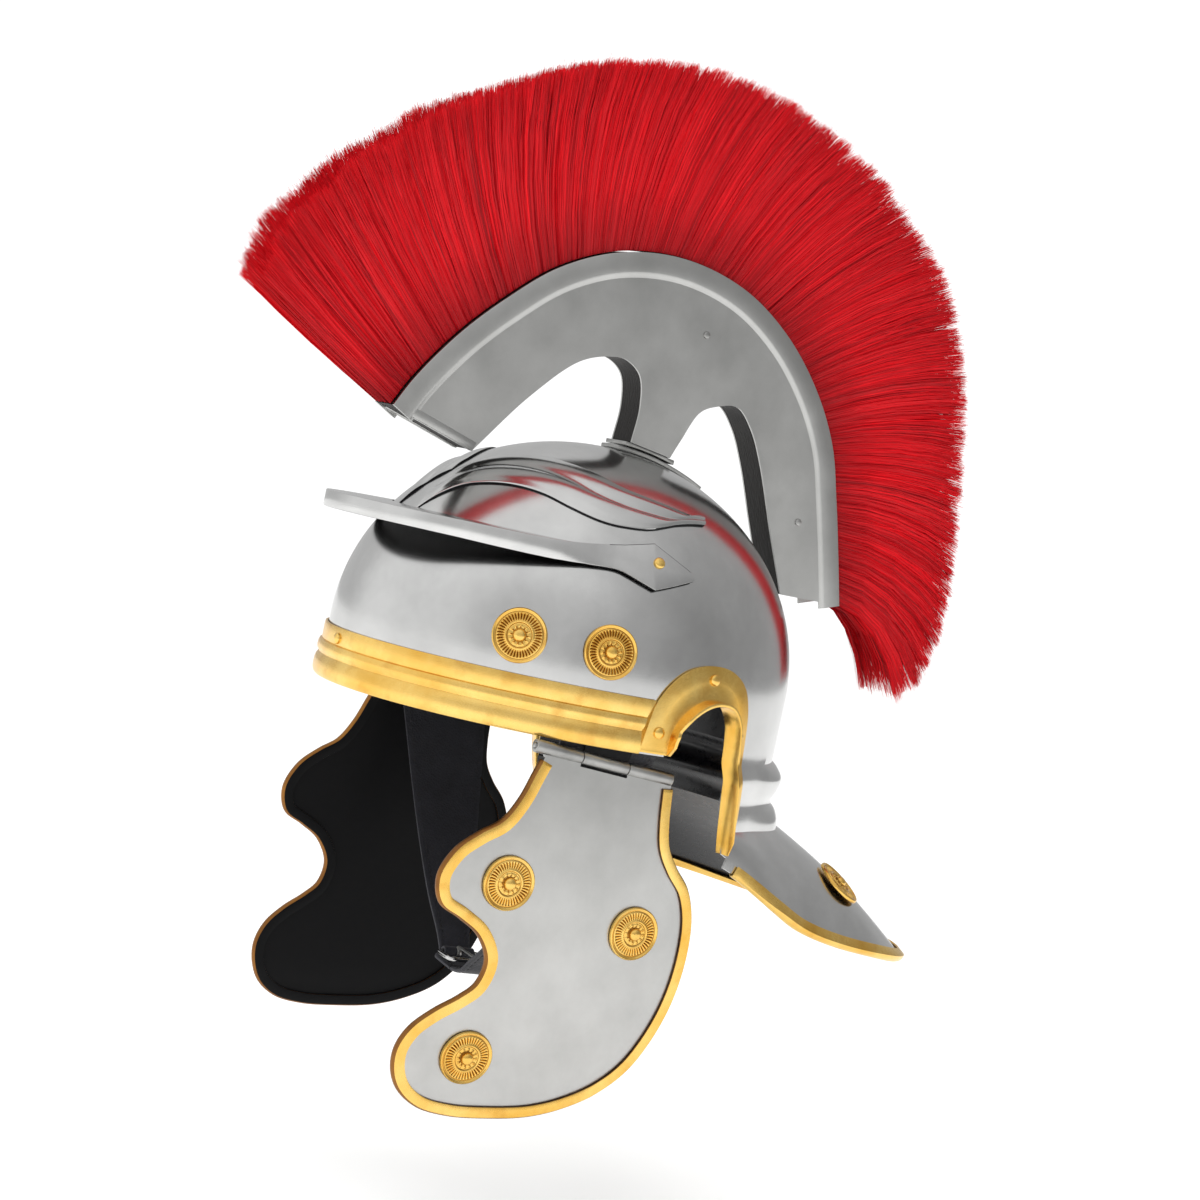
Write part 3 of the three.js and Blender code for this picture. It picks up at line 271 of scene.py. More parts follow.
# Aged brass: the rim of the cheek edging's fold, browned where no wheel reaches.
agedBrass = sheetMetal("aged brass edge", "#a8763a", "#7c5230", 0.42, 0.12, 0.8, 0.01, 7, 0.03,
                       tarnish="#5a3b24")


# Painted shade in the rosettes' pressed slots and creases: a brown tone that darkens the recesses.
paintedSlotShade = sheetMetal("painted shade in stamped slots", "#bd8d40", "#8c6228",
                          0.42, 0.1, 0.6, 0.004, 5, 0.02)


# Black lacquer: brushed on inside the bowl and under the neck guard, glossy, with faint runs.
def blackLacquer(name, deep, worn, rough, gloss):
    material, tree = newMaterial(name)
    place = addNode(tree, "ShaderNodeTexCoord").outputs["Object"]
    runs = addNode(tree, "ShaderNodeTexNoise", values={"Scale": perMetre(6), "Detail": 4.0},
                   links={"Vector": place})
    tone = addNode(tree, "ShaderNodeMix", {"data_type": "RGBA"}, {6: toLinear(deep), 7: toLinear(worn)},
                   {0: runs.outputs[0]}).outputs[2]
    rough = addNode(tree, "ShaderNodeMapRange", values={"To Min": rough, "To Max": rough + 0.16},
                    links={"Value": runs.outputs[0]})
    relief = addNode(tree, "ShaderNodeBump", values={"Strength": 1.0, "Distance": 0.0001},
                     links={"Height": runs.outputs[0]})
    closeMaterial(tree, {"IOR": 1.5, "Specular IOR Level": gloss},
                  {"Base Color": tone, "Roughness": rough.outputs[0], "Normal": relief.outputs[0]})
    return material


# Black-stained wood: the crest box's core, sawn edge with fine grain along the board.
def stainedWood():
    material, tree = newMaterial("black stained wood")
    place = addNode(tree, "ShaderNodeTexCoord").outputs["Object"]
    along = addNode(tree, "ShaderNodeMapping", values={"Scale": (6, 1, 1)}, links={"Vector": place})
    grain = addNode(tree, "ShaderNodeTexNoise", values={"Scale": perMetre(5), "Detail": 6.0},
                    links={"Vector": along.outputs[0]})
    tone = addNode(tree, "ShaderNodeMix", {"data_type": "RGBA"},
                   {6: toLinear("#080706"), 7: toLinear("#181310")},
                   {0: grain.outputs[0]}).outputs[2]
    relief = addNode(tree, "ShaderNodeBump", values={"Strength": 1.0, "Distance": 0.0003},
                     links={"Height": grain.outputs[0]})
    closeMaterial(tree, {"Roughness": 0.55, "IOR": 1.5, "Specular IOR Level": 0.25},
                  {"Base Color": tone, "Normal": relief.outputs[0]})
    return material


# Black harness leather: matt, with a tight grain and paler creases.
# Its pores are about 0.3 mm in the real hide and are drawn coarser, so that they show.
def harnessLeather(name, deep, worn, rough):
    material, tree = newMaterial(name)
    place = addNode(tree, "ShaderNodeTexCoord").outputs["Object"]
    pores = addNode(tree, "ShaderNodeTexVoronoi", values={"Scale": perMetre(1.1)}, links={"Vector": place})
    creases = addNode(tree, "ShaderNodeTexNoise", values={"Scale": perMetre(12), "Detail": 5.0},
                      links={"Vector": place})
    tone = addNode(tree, "ShaderNodeMix", {"data_type": "RGBA"}, {6: toLinear(deep), 7: toLinear(worn)},
                   {0: creases.outputs[0]}).outputs[2]
    both = addNode(tree, "ShaderNodeMath", {"operation": "MULTIPLY_ADD"}, {1: 0.5},
                   {0: creases.outputs[0], 2: pores.outputs["Distance"]})
    relief = addNode(tree, "ShaderNodeBump", values={"Strength": 0.8, "Distance": 0.00025},
                     links={"Height": both.outputs[0]})
    closeMaterial(tree, {"Roughness": rough, "IOR": 1.5, "Sheen Weight": 0.08},
                  {"Base Color": tone, "Normal": relief.outputs[0]})
    return material


# Dyed horsehair: each strand keeps its own red, with a painted shade that darkens it towards the root.
def dyedHorsehair():
    material, tree = newMaterial("dyed red horsehair")
    tone = addNode(tree, "ShaderNodeAttribute", {"attribute_name": "tone"}).outputs["Fac"]
    along = addNode(tree, "ShaderNodeAttribute", {"attribute_name": "along"}).outputs["Fac"]
    body = addNode(tree, "ShaderNodeMix", {"data_type": "RGBA"},
                   {6: toLinear("#8c0410"), 7: toLinear("#f4121f")},
                   {0: tone}).outputs[2]
    # painted shade: the first third of each strand darkens towards the root
    tip = addNode(tree, "ShaderNodeMapRange",
                  values={"From Min": 0.0, "From Max": 0.35, "To Min": 0.55, "To Max": 0.0},
                  links={"Value": along})
    rootShaded = addNode(tree, "ShaderNodeMix", {"data_type": "RGBA"}, {7: toLinear("#68030c")},
                     {0: tip.outputs[0], 6: body}).outputs[2]
    closeMaterial(tree, {"Roughness": 0.45, "IOR": 1.5, "Specular IOR Level": 0.22},
                  {"Base Color": rootShaded})
    return material


lacquer = blackLacquer("black lacquer lining", "#070709", "#121216", 0.2, 0.5)
# Black paint: a matt coat inside the cheek guards and on the hinge leaves; in the peak's hollow and on its
# underside the same black is painted shade.
paintAndShade = blackLacquer("matt black paint", "#050506", "#0d0d0f", 0.55, 0.2)
# Painted shade in corners: a dark matt line round the raised work, where shade falls.
paintedCornerShade = sheetMetal("painted shade in corners", "#3a3a3c", "#141415",
                            0.5, 0.1, 0.8, 0.004, 5, 0.02)
wood = stainedWood()
leather = harnessLeather("black harness leather", "#1a1a1e", "#35353c", 0.6)
thread = harnessLeather("black waxed thread", "#050506", "#141418", 0.5)
horsehair = dyedHorsehair()
print("finishes made")


# Skull form that the bowl, band, peak and guards share

skull = {"halfWidth": 103.7, "halfLength": 120.8, "shift": 1.7, "shoulder": 31.2, "rise": 107.6,
         "sheet": 1.6, "neckDepth": 33, "neckFlare": 9}
guard = {"halfWidth": 107, "reach": 210, "drop": 89, "crown": 4, "corner": 66}

neckRibs = [  # depth share, flare share
    (0, 0), (0.1, 0.4), (0.25, 0.72), (0.42, 0.62), (0.6, 0.36), (0.75, 0.76), (0.88, 0.96), (1, 1)]
guardEdge = [  # angle, share of half width, share of reach, share of drop
    (0, 0, 1, 1), (14, 0.45, 0.975, 0.99), (24, 0.75, 0.915, 0.98), (32, 0.91, 0.81, 0.95),
    (40, 0.98, 0.645, 0.9), (48, 1, 0.52, 0.835), (56, 1, 0.423, 0.735), (66, 0.93, 0.277, 0.56),
    (80, 1, 0.136, 0.56), (90, 1, 0, 0.6)]


def skullNormal(p):
    rise = np.maximum(0, p[..., 2] - skull["shoulder"])
    return unit(spread(p[..., 0] / skull["halfWidth"] ** 2,
                       (p[..., 1] - skull["shift"]) / skull["halfLength"] ** 2,
                       rise / skull["rise"] ** 2))


def skullPoint(angle, z, lift=0):  # angle 0 is the back and 90 degrees the wearer's left
    rise = np.maximum(0, np.asarray(z, float) - skull["shoulder"]) / skull["rise"]
    scale = np.sqrt(np.maximum(0, 1 - rise * rise))
    p = spread(skull["halfWidth"] * scale * np.sin(angle),
               skull["shift"] + skull["halfLength"] * scale * np.cos(angle), z)
    return p + skullNormal(p) * np.asarray(lift, float)[..., None]


def domePoint(x, y, lift=0):
    share = (x / skull["halfWidth"]) ** 2 + ((y - skull["shift"]) / skull["halfLength"]) ** 2
    p = spread(x, y, skull["shoulder"] + skull["rise"] * np.sqrt(np.maximum(0, 1 - share)))
    return p + skullNormal(p) * np.asarray(lift, float)[..., None]


def ribFlare(z):
    return skull["neckFlare"] * readTable(neckRibs,
                                          np.maximum(0, -np.asarray(z, float)) / skull["neckDepth"], 1)


def sideX(y, z):  # the place on the bowl's side that has a given y and z
    y, z = np.broadcast_arrays(np.asarray(y, float), np.asarray(z, float))
    along = (y - skull["shift"]) / skull["halfLength"]
    rise = np.maximum(0, z - skull["shoulder"]) / skull["rise"]
    ribs = np.where((z < 0) & (y > 0), 0.45 * ribFlare(z), 0)
    flare = ribs + 0.8 * np.maximum(0, -z - skull["neckDepth"])
    return flare + skull["halfWidth"] * np.sqrt(np.maximum(0, 1 - along ** 2 - rise ** 2))


def guardEdgePoint(angle):
    turn = np.abs(angle) / degree
    return spread(np.sign(angle) * guard["halfWidth"] * readTable(guardEdge, turn, 1),
                  guard["reach"] * readTable(guardEdge, turn, 2),
                  -guard["drop"] * readTable(guardEdge, turn, 3))


# Bowl

bowl = {"around": 352, "domeRows": 52, "wallRows": 6, "neckRows": 40, "flareRows": 16, "browRelief": 2.4}


def bowlGrid(angles):  # rows of points from near the top down to the neck guard's edge
    angles = np.asarray(angles, float)
    z = skull["shoulder"] + skull["rise"] * np.cos(np.linspace(0, 90, bowl["domeRows"] + 1)[1:] * degree)
    rows = [skullPoint(angles, level) for level in z]
    rows += [skullPoint(angles, level) for level in np.linspace(skull["shoulder"], 0,
                                                                bowl["wallRows"] + 1)[1:]]
    outwards = spread(np.sin(angles), np.cos(angles), 0)
    fade = 1 - 0.7 * smoothStep(np.abs(angles) / degree, 34, 52)
    for share in np.linspace(0, 1, bowl["neckRows"] + 1)[1:]:
        level = -share * skull["neckDepth"]
        rows.append(skullPoint(angles, level) + outwards * (fade * ribFlare(level))[:, None])
    behind = np.abs(angles) <= math.pi / 2
    crease = rows[-1]
    edge = np.where(behind[:, None], guardEdgePoint(angles), crease - [0, 0, skull["neckDepth"]])
    for share in np.linspace(0, 1, bowl["flareRows"] + 1)[1:]:
        row = crease + (edge - crease) * share
        row[:, 2] += guard["crown"] * math.sin(math.pi * share) * behind
        rows.append(row)
    return np.array(rows)


def bowlShell():
    angles = np.linspace(-math.pi, math.pi, bowl["around"], endpoint=False)
    outer = bowlGrid(angles)
    rows, around = outer.shape[:2]
    top = np.array([0, skull["shift"], skull["shoulder"] + skull["rise"]])
    padded = np.concatenate([np.broadcast_to(top, (1, around, 3)), outer, outer[-1:]])
    down = padded[2:] - padded[:-2]
    across = np.roll(outer, -1, 1) - np.roll(outer, 1, 1)
    normal = unit(np.cross(across, down))
    normal *= np.sign((normal * (outer - [0, 0, -20])).sum(-1, keepdims=True))
    inner = outer - normal * skull["sheet"]
    points = np.vstack([outer.reshape(-1, 3), inner.reshape(-1, 3), [top], [top - [0, 0, skull["sheet"]]]])
    inside = rows * around
    faces = gridFaces(rows, around, around=True)
    faces += [[2 * inside, (k + 1) % around, k] for k in range(around)]
    lined = len(faces)
    faces += [face[::-1] for face in gridFaces(rows, around, around=True, start=inside)]
    faces += [[2 * inside + 1, inside + k, inside + (k + 1) % around] for k in range(around)]
    edge = len(faces)
    last = inside - around
    faces += [[last + k, last + (k + 1) % around, inside + last + (k + 1) % around,
               inside + last + k] for k in range(around)]
    return points, faces, lined, edge


earGuardForm = {"centre": 28, "height": 46, "lip": 9, "root": 2.4, "sheet": 1.0, "clearance": 0.45,
                "bridge": 3.8, "bridgeTop": 2, "bridgeFoot": -9,
                "rivets": ((0.02, 0.86), (-0.55, 0.24), (0.55, 0.3))}
earStations = [  # inner y, inner z, outer y, outer z, as shares of the guard's height from its centre
    (-0.37, 0.02, -0.72, 0.02), (-0.37, 0.2, -0.74, 0.2), (-0.33, 0.35, -0.69, 0.42),
    (-0.22, 0.49, -0.54, 0.72),
    (-0.07, 0.59, -0.32, 0.92), (0.09, 0.62, -0.04, 1), (0.24, 0.575, 0.26, 0.975), (0.35, 0.43, 0.5, 0.83),
    (0.4, 0.24, 0.63, 0.58), (0.43, 0, 0.69, 0.25), (0.46, -0.26, 0.72, -0.08), (0.5, -0.52, 0.76, -0.4),
    (0.54, -0.76, 0.775, -0.68), (0.58, -0.94, 0.75, -0.9)]
earLines = smoothLine(earStations, 130) * earGuardForm["height"]
earInner = earLines[:, :2] + [earGuardForm["centre"], 0]
earOuter = earLines[:, 2:] + [earGuardForm["centre"], 0]


def lowerCut():  # all that is cut away below the rim
    opening = earInner + (earOuter - earInner) * 0.12
    corner = guardEdgePoint(np.array(guard["corner"] * degree))
    below, ahead = -2 * guard["drop"], -2 * skull["halfLength"]
    outline = [(ahead, 0), (opening[0][0], 0), *opening[1:].tolist(),
               (opening[-1][0] + 4, opening[-1][1] - 2),
               (corner[1], corner[2]), (corner[1], below), (ahead, below)]
    return plateAcross(outline, -2 * skull["halfWidth"], 2 * skull["halfWidth"])


# lower edge x, lower edge y, upper edge x, upper edge y, as shares of the half width and length
browLine = [
    (0.1, -0.82, 0.02, -0.65), (0.15, -0.75, 0.07, -0.56), (0.21, -0.68, 0.15, -0.47),
    (0.3, -0.61, 0.25, -0.385),
    (0.4, -0.535, 0.36, -0.3), (0.5, -0.46, 0.46, -0.22), (0.61, -0.375, 0.55, -0.135),
    (0.69, -0.28, 0.6, -0.03),
    (0.73, -0.18, 0.625, 0.08), (0.74, -0.06, 0.63, 0.16), (0.7, 0.08, 0.61, 0.2), (0.65, 0.22, 0.6, 0.235)]
browProfile = [  # share across, share of the relief
    (0.03, 0.52), (0.1, 0.62), (0.2, 0.8), (0.3, 0.86), (0.4, 0.74), (0.47, 0.56), (0.52, 0.5), (0.57, 0.56),
    (0.67, 0.72), (0.78, 0.78), (0.89, 0.66), (0.97, 0.52)]


def browRidge():
    profile = smoothLine(browProfile, 44)
    profile = np.vstack([[0, -0.5], [0.004, 0.38], [0.02, 0.5], profile, [0.98, 0.5], [0.996, 0.38],
                         [1, -0.5]])
    back = np.linspace(1, 0, 12)[1:-1]
    share = np.concatenate([profile[:, 0], back])
    rise = np.concatenate([profile[:, 1], np.full(len(back), -0.5)])
    rings = []
    lines = smoothLine(browLine, 130)
    for i, (x0, y0, x1, y1) in enumerate(lines):
        ends = 0.5 + 0.5 * smoothStep(i, 0, 10)
        x = (x0 + (x1 - x0) * share) * skull["halfWidth"]
        y = (y0 + (y1 - y0) * share) * skull["halfLength"]
        lift = np.where(rise < 0, rise * 1.2, rise * ends * bowl["browRelief"])
        rings.append(domePoint(x, y, lift))
    return loft(rings)


points, faces, lined, edge = bowlShell()
shell = addPiece("bowl_shell", (points, faces), [polishedSteel, lacquer], nodes=["bowl"],
                 turnOut=False)
shell.data.polygons.foreach_set("material_index", [int(lined <= i < edge) for i in range(len(faces))])
tool = bpy.data.objects.new("cut", bpy.data.meshes.new("cut"))
verts, cutFaces = lowerCut()
tool.data.from_pydata((verts / 1000).tolist(), [], cutFaces)
outward(tool.data)
bpy.context.scene.collection.objects.link(tool)
cut = shell.modifiers.new("rim", "BOOLEAN")
cut.operation = "DIFFERENCE"
cut.solver = "EXACT"
cut.object = tool
applyModifiers(shell)
bpy.data.objects.remove(tool)
shell.data.set_sharp_from_angle(angle=32 * degree)
ridge = browRidge()
for side, sign in sides.items():
    brow = addPiece(f"brow_{side}", onSide(ridge, sign), [polishedSteel, paintedCornerShade],
                    nodes=["bowl"], angle=40)
    for polygon in brow.data.polygons:  # the steep walls round the ridge keep the dark line, a painted shade where the ridge rises from the bowl
        centre = np.array(polygon.center) * 1000
        upright = Vector(skullNormal(centre)).dot(polygon.normal)
        polygon.material_index = int(abs(upright) < 0.55)
print("bowl made,", len(shell.data.polygons), "faces")


# Brow band: a flat upper strip, a step and two rolls below it

band = {"height": 26, "standOut": 3.2, "clearance": 0.45, "endGap": 1, "stations": 220}
bandProfile = [(0, 0.01), (0.5, 0.0), (0.78, 0.03), (0.95, 0.09), (1, 0.17), (0.97, 0.27), (0.82, 0.35),
               (0.48, 0.415),
               (0.5, 0.43), (0.8, 0.47), (0.9, 0.53), (0.86, 0.6), (0.7, 0.655), (0.38, 0.67), (0.42, 0.685),
               (0.42, 0.96), (0.34, 1), (0, 1)]  # stand-out share, height share


def browBand():
    out, up = np.array(bandProfile).T
    level, lift = up * band["height"], band["clearance"] + out * band["standOut"]
    front = earOuter[:len(earOuter) // 3]
    end = np.interp(level, front[:, 1], front[:, 0]) - band["endGap"] - skull["shift"]
    start = np.arccos(end / skull["halfLength"])  # the ends follow the ear guard's outline
    rings = []
    for share in np.linspace(0, 1, band["stations"]):
        rings.append(skullPoint(start + (2 * math.pi - 2 * start) * share, level, lift))
    return loft(rings)


addPiece("band", browBand(), polishedBrass, nodes=["brow_band"], angle=40)
print("brow band made")


# Peak: a flange with a turned-down face that ends in a pointed tab on each side

peak = {"reach": 137, "centre": 6, "sideReach": 3.15, "height": 90, "face": 8, "tabHeight": 20, "tabRise": 3,
        "sheet": 1.6, "clearance": 0.95, "rivetAngle": 85, "rivetDrop": 2.5, "soft": 0.4}
peakStations = [  # angle from the front, flange share, face height share, tab share, drop of the face's top
    (0, 1, 1, 0, 0), (11, 1, 1, 0, 0), (22, 1, 1, 0, 0), (33, 1, 1, 0, 0), (44, 1, 1.02, 0, 0),
    (54, 1, 1.08, 0, 0),
    (62, 0.95, 1.12, 0.02, 0), (67, 0.85, 1.15, 0.12, 0), (70, 0.6, 1.2, 0.45, 0.02),
    (73, 0.2, 1.35, 0.93, 0.03),
    (75, 0.04, 1.5, 1, 0.01), (84, 0.02, 2.6, 1, -0.155), (95.5, 0.02, 0.4, 1, 0.36)]


def peakRing(angle):
    flange, tab = (float(readTable(peakStations, angle, k)) for k in (1, 3))
    face, drop = (float(readTable(peakStations, angle, k, smooth=False)) for k in (2, 4))
    a = angle * degree
    halfWidth = skull["halfWidth"] * math.sqrt(
        1 - ((peak["height"] - skull["shoulder"]) / skull["rise"]) ** 2)
    halfWidth += peak["sideReach"]
    top = peak["height"] + peak["tabRise"] * tab - drop * peak["tabHeight"]
    bottom = top - face * peak["face"]
    x, y = halfWidth * math.sin(a), -peak["centre"] - (peak["reach"] - peak["centre"]) * math.cos(a)
    inward = unit(np.array([x / halfWidth ** 2, y / peak["reach"] ** 2, 0]))

    def outerAt(z, inset):
        free = np.array([x, y, z]) - inward * inset
        return free + (skullPoint(math.pi - a, z, peak["clearance"] + peak["sheet"] - inset) - free) * tab

    seat = skullPoint(math.pi - a, top, peak["clearance"])
    seatLow = skullPoint(math.pi - a, top - peak["sheet"], peak["clearance"])
    middle = (top + bottom) / 2
    innerTop, innerLow = outerAt(top, peak["sheet"]), outerAt(top - peak["sheet"], peak["sheet"])
    steps = np.linspace(0, 1, 5)[1:-1] * flange
    soft = peak["soft"]
    face = [outerAt(top, soft), outerAt(top - 0.3 * soft, 0.3 * soft), outerAt(top - soft, 0),
            outerAt(middle, 0),
            outerAt(bottom + soft, 0), outerAt(bottom + 0.3 * soft, 0.3 * soft), outerAt(bottom, soft)]
    return [innerTop + (seat - innerTop) * flange, *[innerTop + (seat - innerTop) * s for s in steps[::-1]],
            *face,
            outerAt(bottom, peak["sheet"]), outerAt(middle, peak["sheet"]), innerLow,
            *[innerLow + (seatLow - innerLow) * s for s in steps], innerLow + (seatLow - innerLow) * flange]


def peakStrip():
    turns = np.unique(np.concatenate([np.linspace(0, 95.5, 120), [row[0] for row in peakStations]]))
    half = [peakRing(turn) for turn in turns]
    other = [np.array(ring) * [-1, 1, 1] for ring in half[:0:-1]]
    return loft([*other, *[np.array(ring) for ring in half]])


strip = addPiece("peak_strip", peakStrip(), [polishedSteel, paintAndShade, paintedCornerShade], nodes=["peak"],
                 angle=40)
for polygon in strip.data.polygons:  # the hollow under the flange and the underside are black, a painted shade that the bowl mirrors under the peak
    facesIn = polygon.normal.dot(Vector((polygon.center.x, polygon.center.y, 0))) < 0
    hollow = facesIn and polygon.normal.z < 0.3
    onTab = polygon.center.y > -0.034  # the upper edge of each tab keeps a dark line, a painted shadow of the gap over the bowl
    if polygon.normal.z < -0.8 or hollow:
        polygon.material_index = 1
    elif onTab and polygon.normal.z > 0.75:
        polygon.material_index = 2
print("peak made")


# Ear guards: a flange on the bowl and a lip that stands out round the ear opening

earLip = [  # share along the guard, share of the lip's height
    (0, 0.3), (0.03, 0.75), (0.07, 0.86), (0.09, 0.8), (0.12, 0.95), (0.15, 1), (0.6, 1), (0.95, 1),
    (1, 0.7)]


def earX(y, z):  # the guard bridges the neck's ribs with a flat sheet
    down = -np.asarray(z, float)
    stand = smoothStep(down, -earGuardForm["bridgeTop"], -earGuardForm["bridgeFoot"])
    return sideX(y, np.maximum(0, z)) + earGuardForm["bridge"] * stand


def earGuard():
    rings = []
    for i in range(len(earInner)):
        lip = earGuardForm["lip"] * float(readTable(earLip, i / (len(earInner) - 1), 1, smooth=False))
        low, high = earGuardForm["clearance"], earGuardForm["clearance"] + earGuardForm["sheet"]

        def at(share, lift):
            y, z = earInner[i] + (earOuter[i] - earInner[i]) * share
            seat = spread(earX(y, z), y, z)
            return seat + skullNormal(seat) * lift

        root = at(0, low) - [earGuardForm["root"], 0, 0]
        rings.append([at(1, low), at(1, high), at(0.55, high), at(0.1, high), at(0.1, lip), at(0, lip), root,
                      root + at(0.1, low) - at(0, low), at(0.1, low), at(0.55, low)])
    return loft(np.array(rings).reshape(len(rings), 10, 3))


for side, sign in sides.items():
    addPiece(f"ear_flange_{side}", onSide(earGuard(), sign), polishedBrass,
             nodes=[f"ear_guard_{side}"],
             bevel=0.25, angle=28)
print("ear guards made")


# Neck guard edging: a brass strip folded over the sheet's edge

edging = {"width": 4.6, "sheet": 1.0, "clearance": 0.3, "seat": 0.8, "turn": 64, "stations": 170}


# a U of sheet round an edge, as a ring of points
def foldedEdge(inner, edge, upward, half, seat, clearance, sheet):
    inner, edge = np.asarray(inner), np.asarray(edge)
    nose = edge - unit(inner - edge) * (clearance + sheet)
    stop = edge - unit(inner - edge) * clearance
    up, outerUp = upward * (half + seat), upward * (half + seat + sheet)
    shoulder = nose + unit(inner - edge) * sheet * 0.8
    return [inner + up, inner + outerUp, shoulder + outerUp, nose + upward * half, nose - upward * half,
            shoulder - outerUp,
            inner - outerUp, inner - up, stop - up, stop + up]


def neckEdging():
    angles = np.linspace(-edging["turn"], edging["turn"], edging["stations"]) * degree
    grid = bowlGrid(angles)
    edge = grid[-1]
    back = unit(grid[-2] - edge)
    aside = unit(np.gradient(edge, axis=0))
    inward = unit(back - aside * (back * aside).sum(-1, keepdims=True))
    up = np.cross(aside, inward)
    up *= np.sign(up[:, 2:3])
    half = skull["sheet"] / 2
    rings = []
    for i in range(len(angles)):
        middle = edge[i] - up[i] * half
        rings.append(foldedEdge(middle + inward[i] * edging["width"], middle, up[i], half, edging["seat"],
                                edging["clearance"], edging["sheet"]))
    return loft(rings)


addPiece("neck_trim", neckEdging(), polishedBrass, nodes=["neck_edging"], bevel=0.2)
print("neck edging made")


# Rivets and rosettes

rivet = {"radius": 2.8, "height": 1.8, "around": 28}
rosette = {"radius": 13, "slots": 42, "beads": 12, "perSlot": 6, "clearance": 0.45, "neckLift": 0.9}
rosetteProfile = [  # radius share, height in mm
    (0, 0), (0.55, 0), (1, 0), (1.0, 0.7), (0.985, 1.35), (0.955, 1.62), (0.925, 1.5), (0.9, 1.1),
    (0.87, 0.9), (0.845, 0.95),
    (0.825, 1.2), (0.81, 1.32), (0.79, 1.32), (0.75, 1.33), (0.7, 1.34), (0.65, 1.35), (0.6, 1.36),
    (0.57, 1.36), (0.545, 1.36),
    (0.53, 1.6), (0.5, 1.84), (0.47, 1.8), (0.45, 1.45), (0.43, 1.2), (0.4, 1.2), (0.37, 1.3), (0.33, 1.35),
    (0.29, 1.3),
    (0.26, 1.2), (0.24, 1.3), (0.23, 2.2), (0.21, 2.9), (0.165, 3.5), (0.1, 3.86), (0.04, 3.97)]
rosetteCreases = [(0.225, 0.25), (0.425, 0.45), (0.835, 0.862)]  # radius shares of the creases that take painted shade


def domeRivet(radius, height):
    turn = np.linspace(0, 86, 9) * degree
    side = [(radius, 0.3 * height * s) for s in (0, 0.5)]
    return lathe([(0.02, 0), *side,
                  *[(radius * (0.06 + 0.94 * math.cos(t)),
                     height * (0.3 + 0.7 * math.sin(t))) for t in turn]],
                 rivet["around"])


def rosetteForm():
    around = rosette["slots"] * rosette["perSlot"]
    turn = np.linspace(0, 2 * math.pi, around, endpoint=False)
    slot = smoothStep(np.cos(turn * rosette["slots"]), -0.1, 0.9)
    bead = np.maximum(0, np.cos(turn * rosette["beads"])) ** 0.7
    rings = []
    for i, (share, height) in enumerate(rosetteProfile):
        sunk = 0.62 * slot * smoothStep(share, 0.545, 0.58) * (1 - smoothStep(share, 0.785, 0.812)) * (i > 2)
        raised = 0.62 * bead * max(0, 1 - ((share - 0.335) / 0.055) ** 2) * (i > 2)
        radius = max(share, 0.012) * rosette["radius"]
        rings.append(spread(radius * np.cos(turn), radius * np.sin(turn), height - sunk + raised))
    verts, faces = loft(rings)
    middles = np.array([verts[face].mean(0) for face in faces[:-2]])
    share = np.linalg.norm(middles[:, :2], axis=1) / rosette["radius"]
    turn = np.arctan2(middles[:, 1], middles[:, 0])
    slots = (np.cos(turn * rosette["slots"]) > 0.35) & (share > 0.555) & (share < 0.8)
    creases = np.zeros(len(share), bool)
    for low, high in rosetteCreases:
        creases |= (share > low) & (share < high)
    # faces in the slots and creases, above the base, take the painted shade
    dark = ((slots | creases) & (middles[:, 2] > 0.3)).tolist()
    return verts, faces, [int(d) for d in dark] + [0, 0]


domeShape = domeRivet(rivet["radius"], rivet["height"])
*rosetteShape, rosetteDark = rosetteForm()


def addRound(name, shape, at, normal, finish, body, node, sign, angle=50):
    placed = turned(shape, at, unit(np.asarray(normal, float)))
    piece = addPiece(name, onSide(placed, sign), finish, body, [node], angle=angle)
    if shape is rosetteShape:
        # painted shade for the slots and creases
        piece.data.materials.append(paintedSlotShade)
        piece.data.polygons.foreach_set("material_index", rosetteDark)


browAt = skullPoint(math.pi, band["height"] * 0.8, band["clearance"] + 0.4 * band["standOut"])
addRound("rivet_brow", domeShape, browAt, (0, -1, 0), polishedBrass, "helmet", "brow_rivet", 1)
peakAt = skullPoint((180 - peak["rivetAngle"]) * degree, peak["height"] - peak["rivetDrop"],
                    peak["clearance"] + peak["sheet"])
for side, sign in sides.items():
    addRound(f"rivet_peak_{side}", domeShape, peakAt, skullNormal(peakAt), polishedBrass, "helmet",
             f"peak_rivet_{side}", sign)
    for i, (y, z) in enumerate(earGuardForm["rivets"]):
        y, z = earGuardForm["centre"] + y * earGuardForm["height"], z * earGuardForm["height"]
        seat = spread(earX(y, z), y, z)
        normal = skullNormal(seat)
        seat = seat + normal * (earGuardForm["clearance"] + earGuardForm["sheet"])
        addRound(f"rivet_ear_{i + 1}_{side}", domeShape, seat, normal, polishedBrass, "helmet",
                 f"ear_rivet_{i + 1}_{side}", sign)
    for place, y, z in (("front", -0.57, 0.36), ("side", -0.24, 0.365)):
        y, z = y * skull["halfLength"], z * skull["halfLength"]
        seat = spread(sideX(y, z), y, z)
        normal = skullNormal(seat)
        addRound(f"boss_bowl_{place}_{side}", rosetteShape, seat + normal * rosette["clearance"], normal,
                 polishedBrass, "helmet",
                 f"rosette_bowl_{place}_{side}", sign)

# The neck guard's rosette lies half way down the flare.
angles = np.array([29.9, 30, 30.1]) * degree
grid = bowlGrid(angles)
middle = grid[-1 - bowl["flareRows"] // 2]
along = grid[-1][1] - grid[-1 - bowl["flareRows"]][1]
guardNormal = unit(np.cross(along, middle[2] - middle[0]))
guardNormal *= np.sign(guardNormal[2])
for side, sign in sides.items():
    addRound(f"boss_neck_{side}", rosetteShape, middle[1] + guardNormal * rosette["neckLift"], guardNormal,
             polishedBrass, "helmet",
             f"rosette_neck_{side}", sign)
print("rivets and rosettes made")


# Hinges

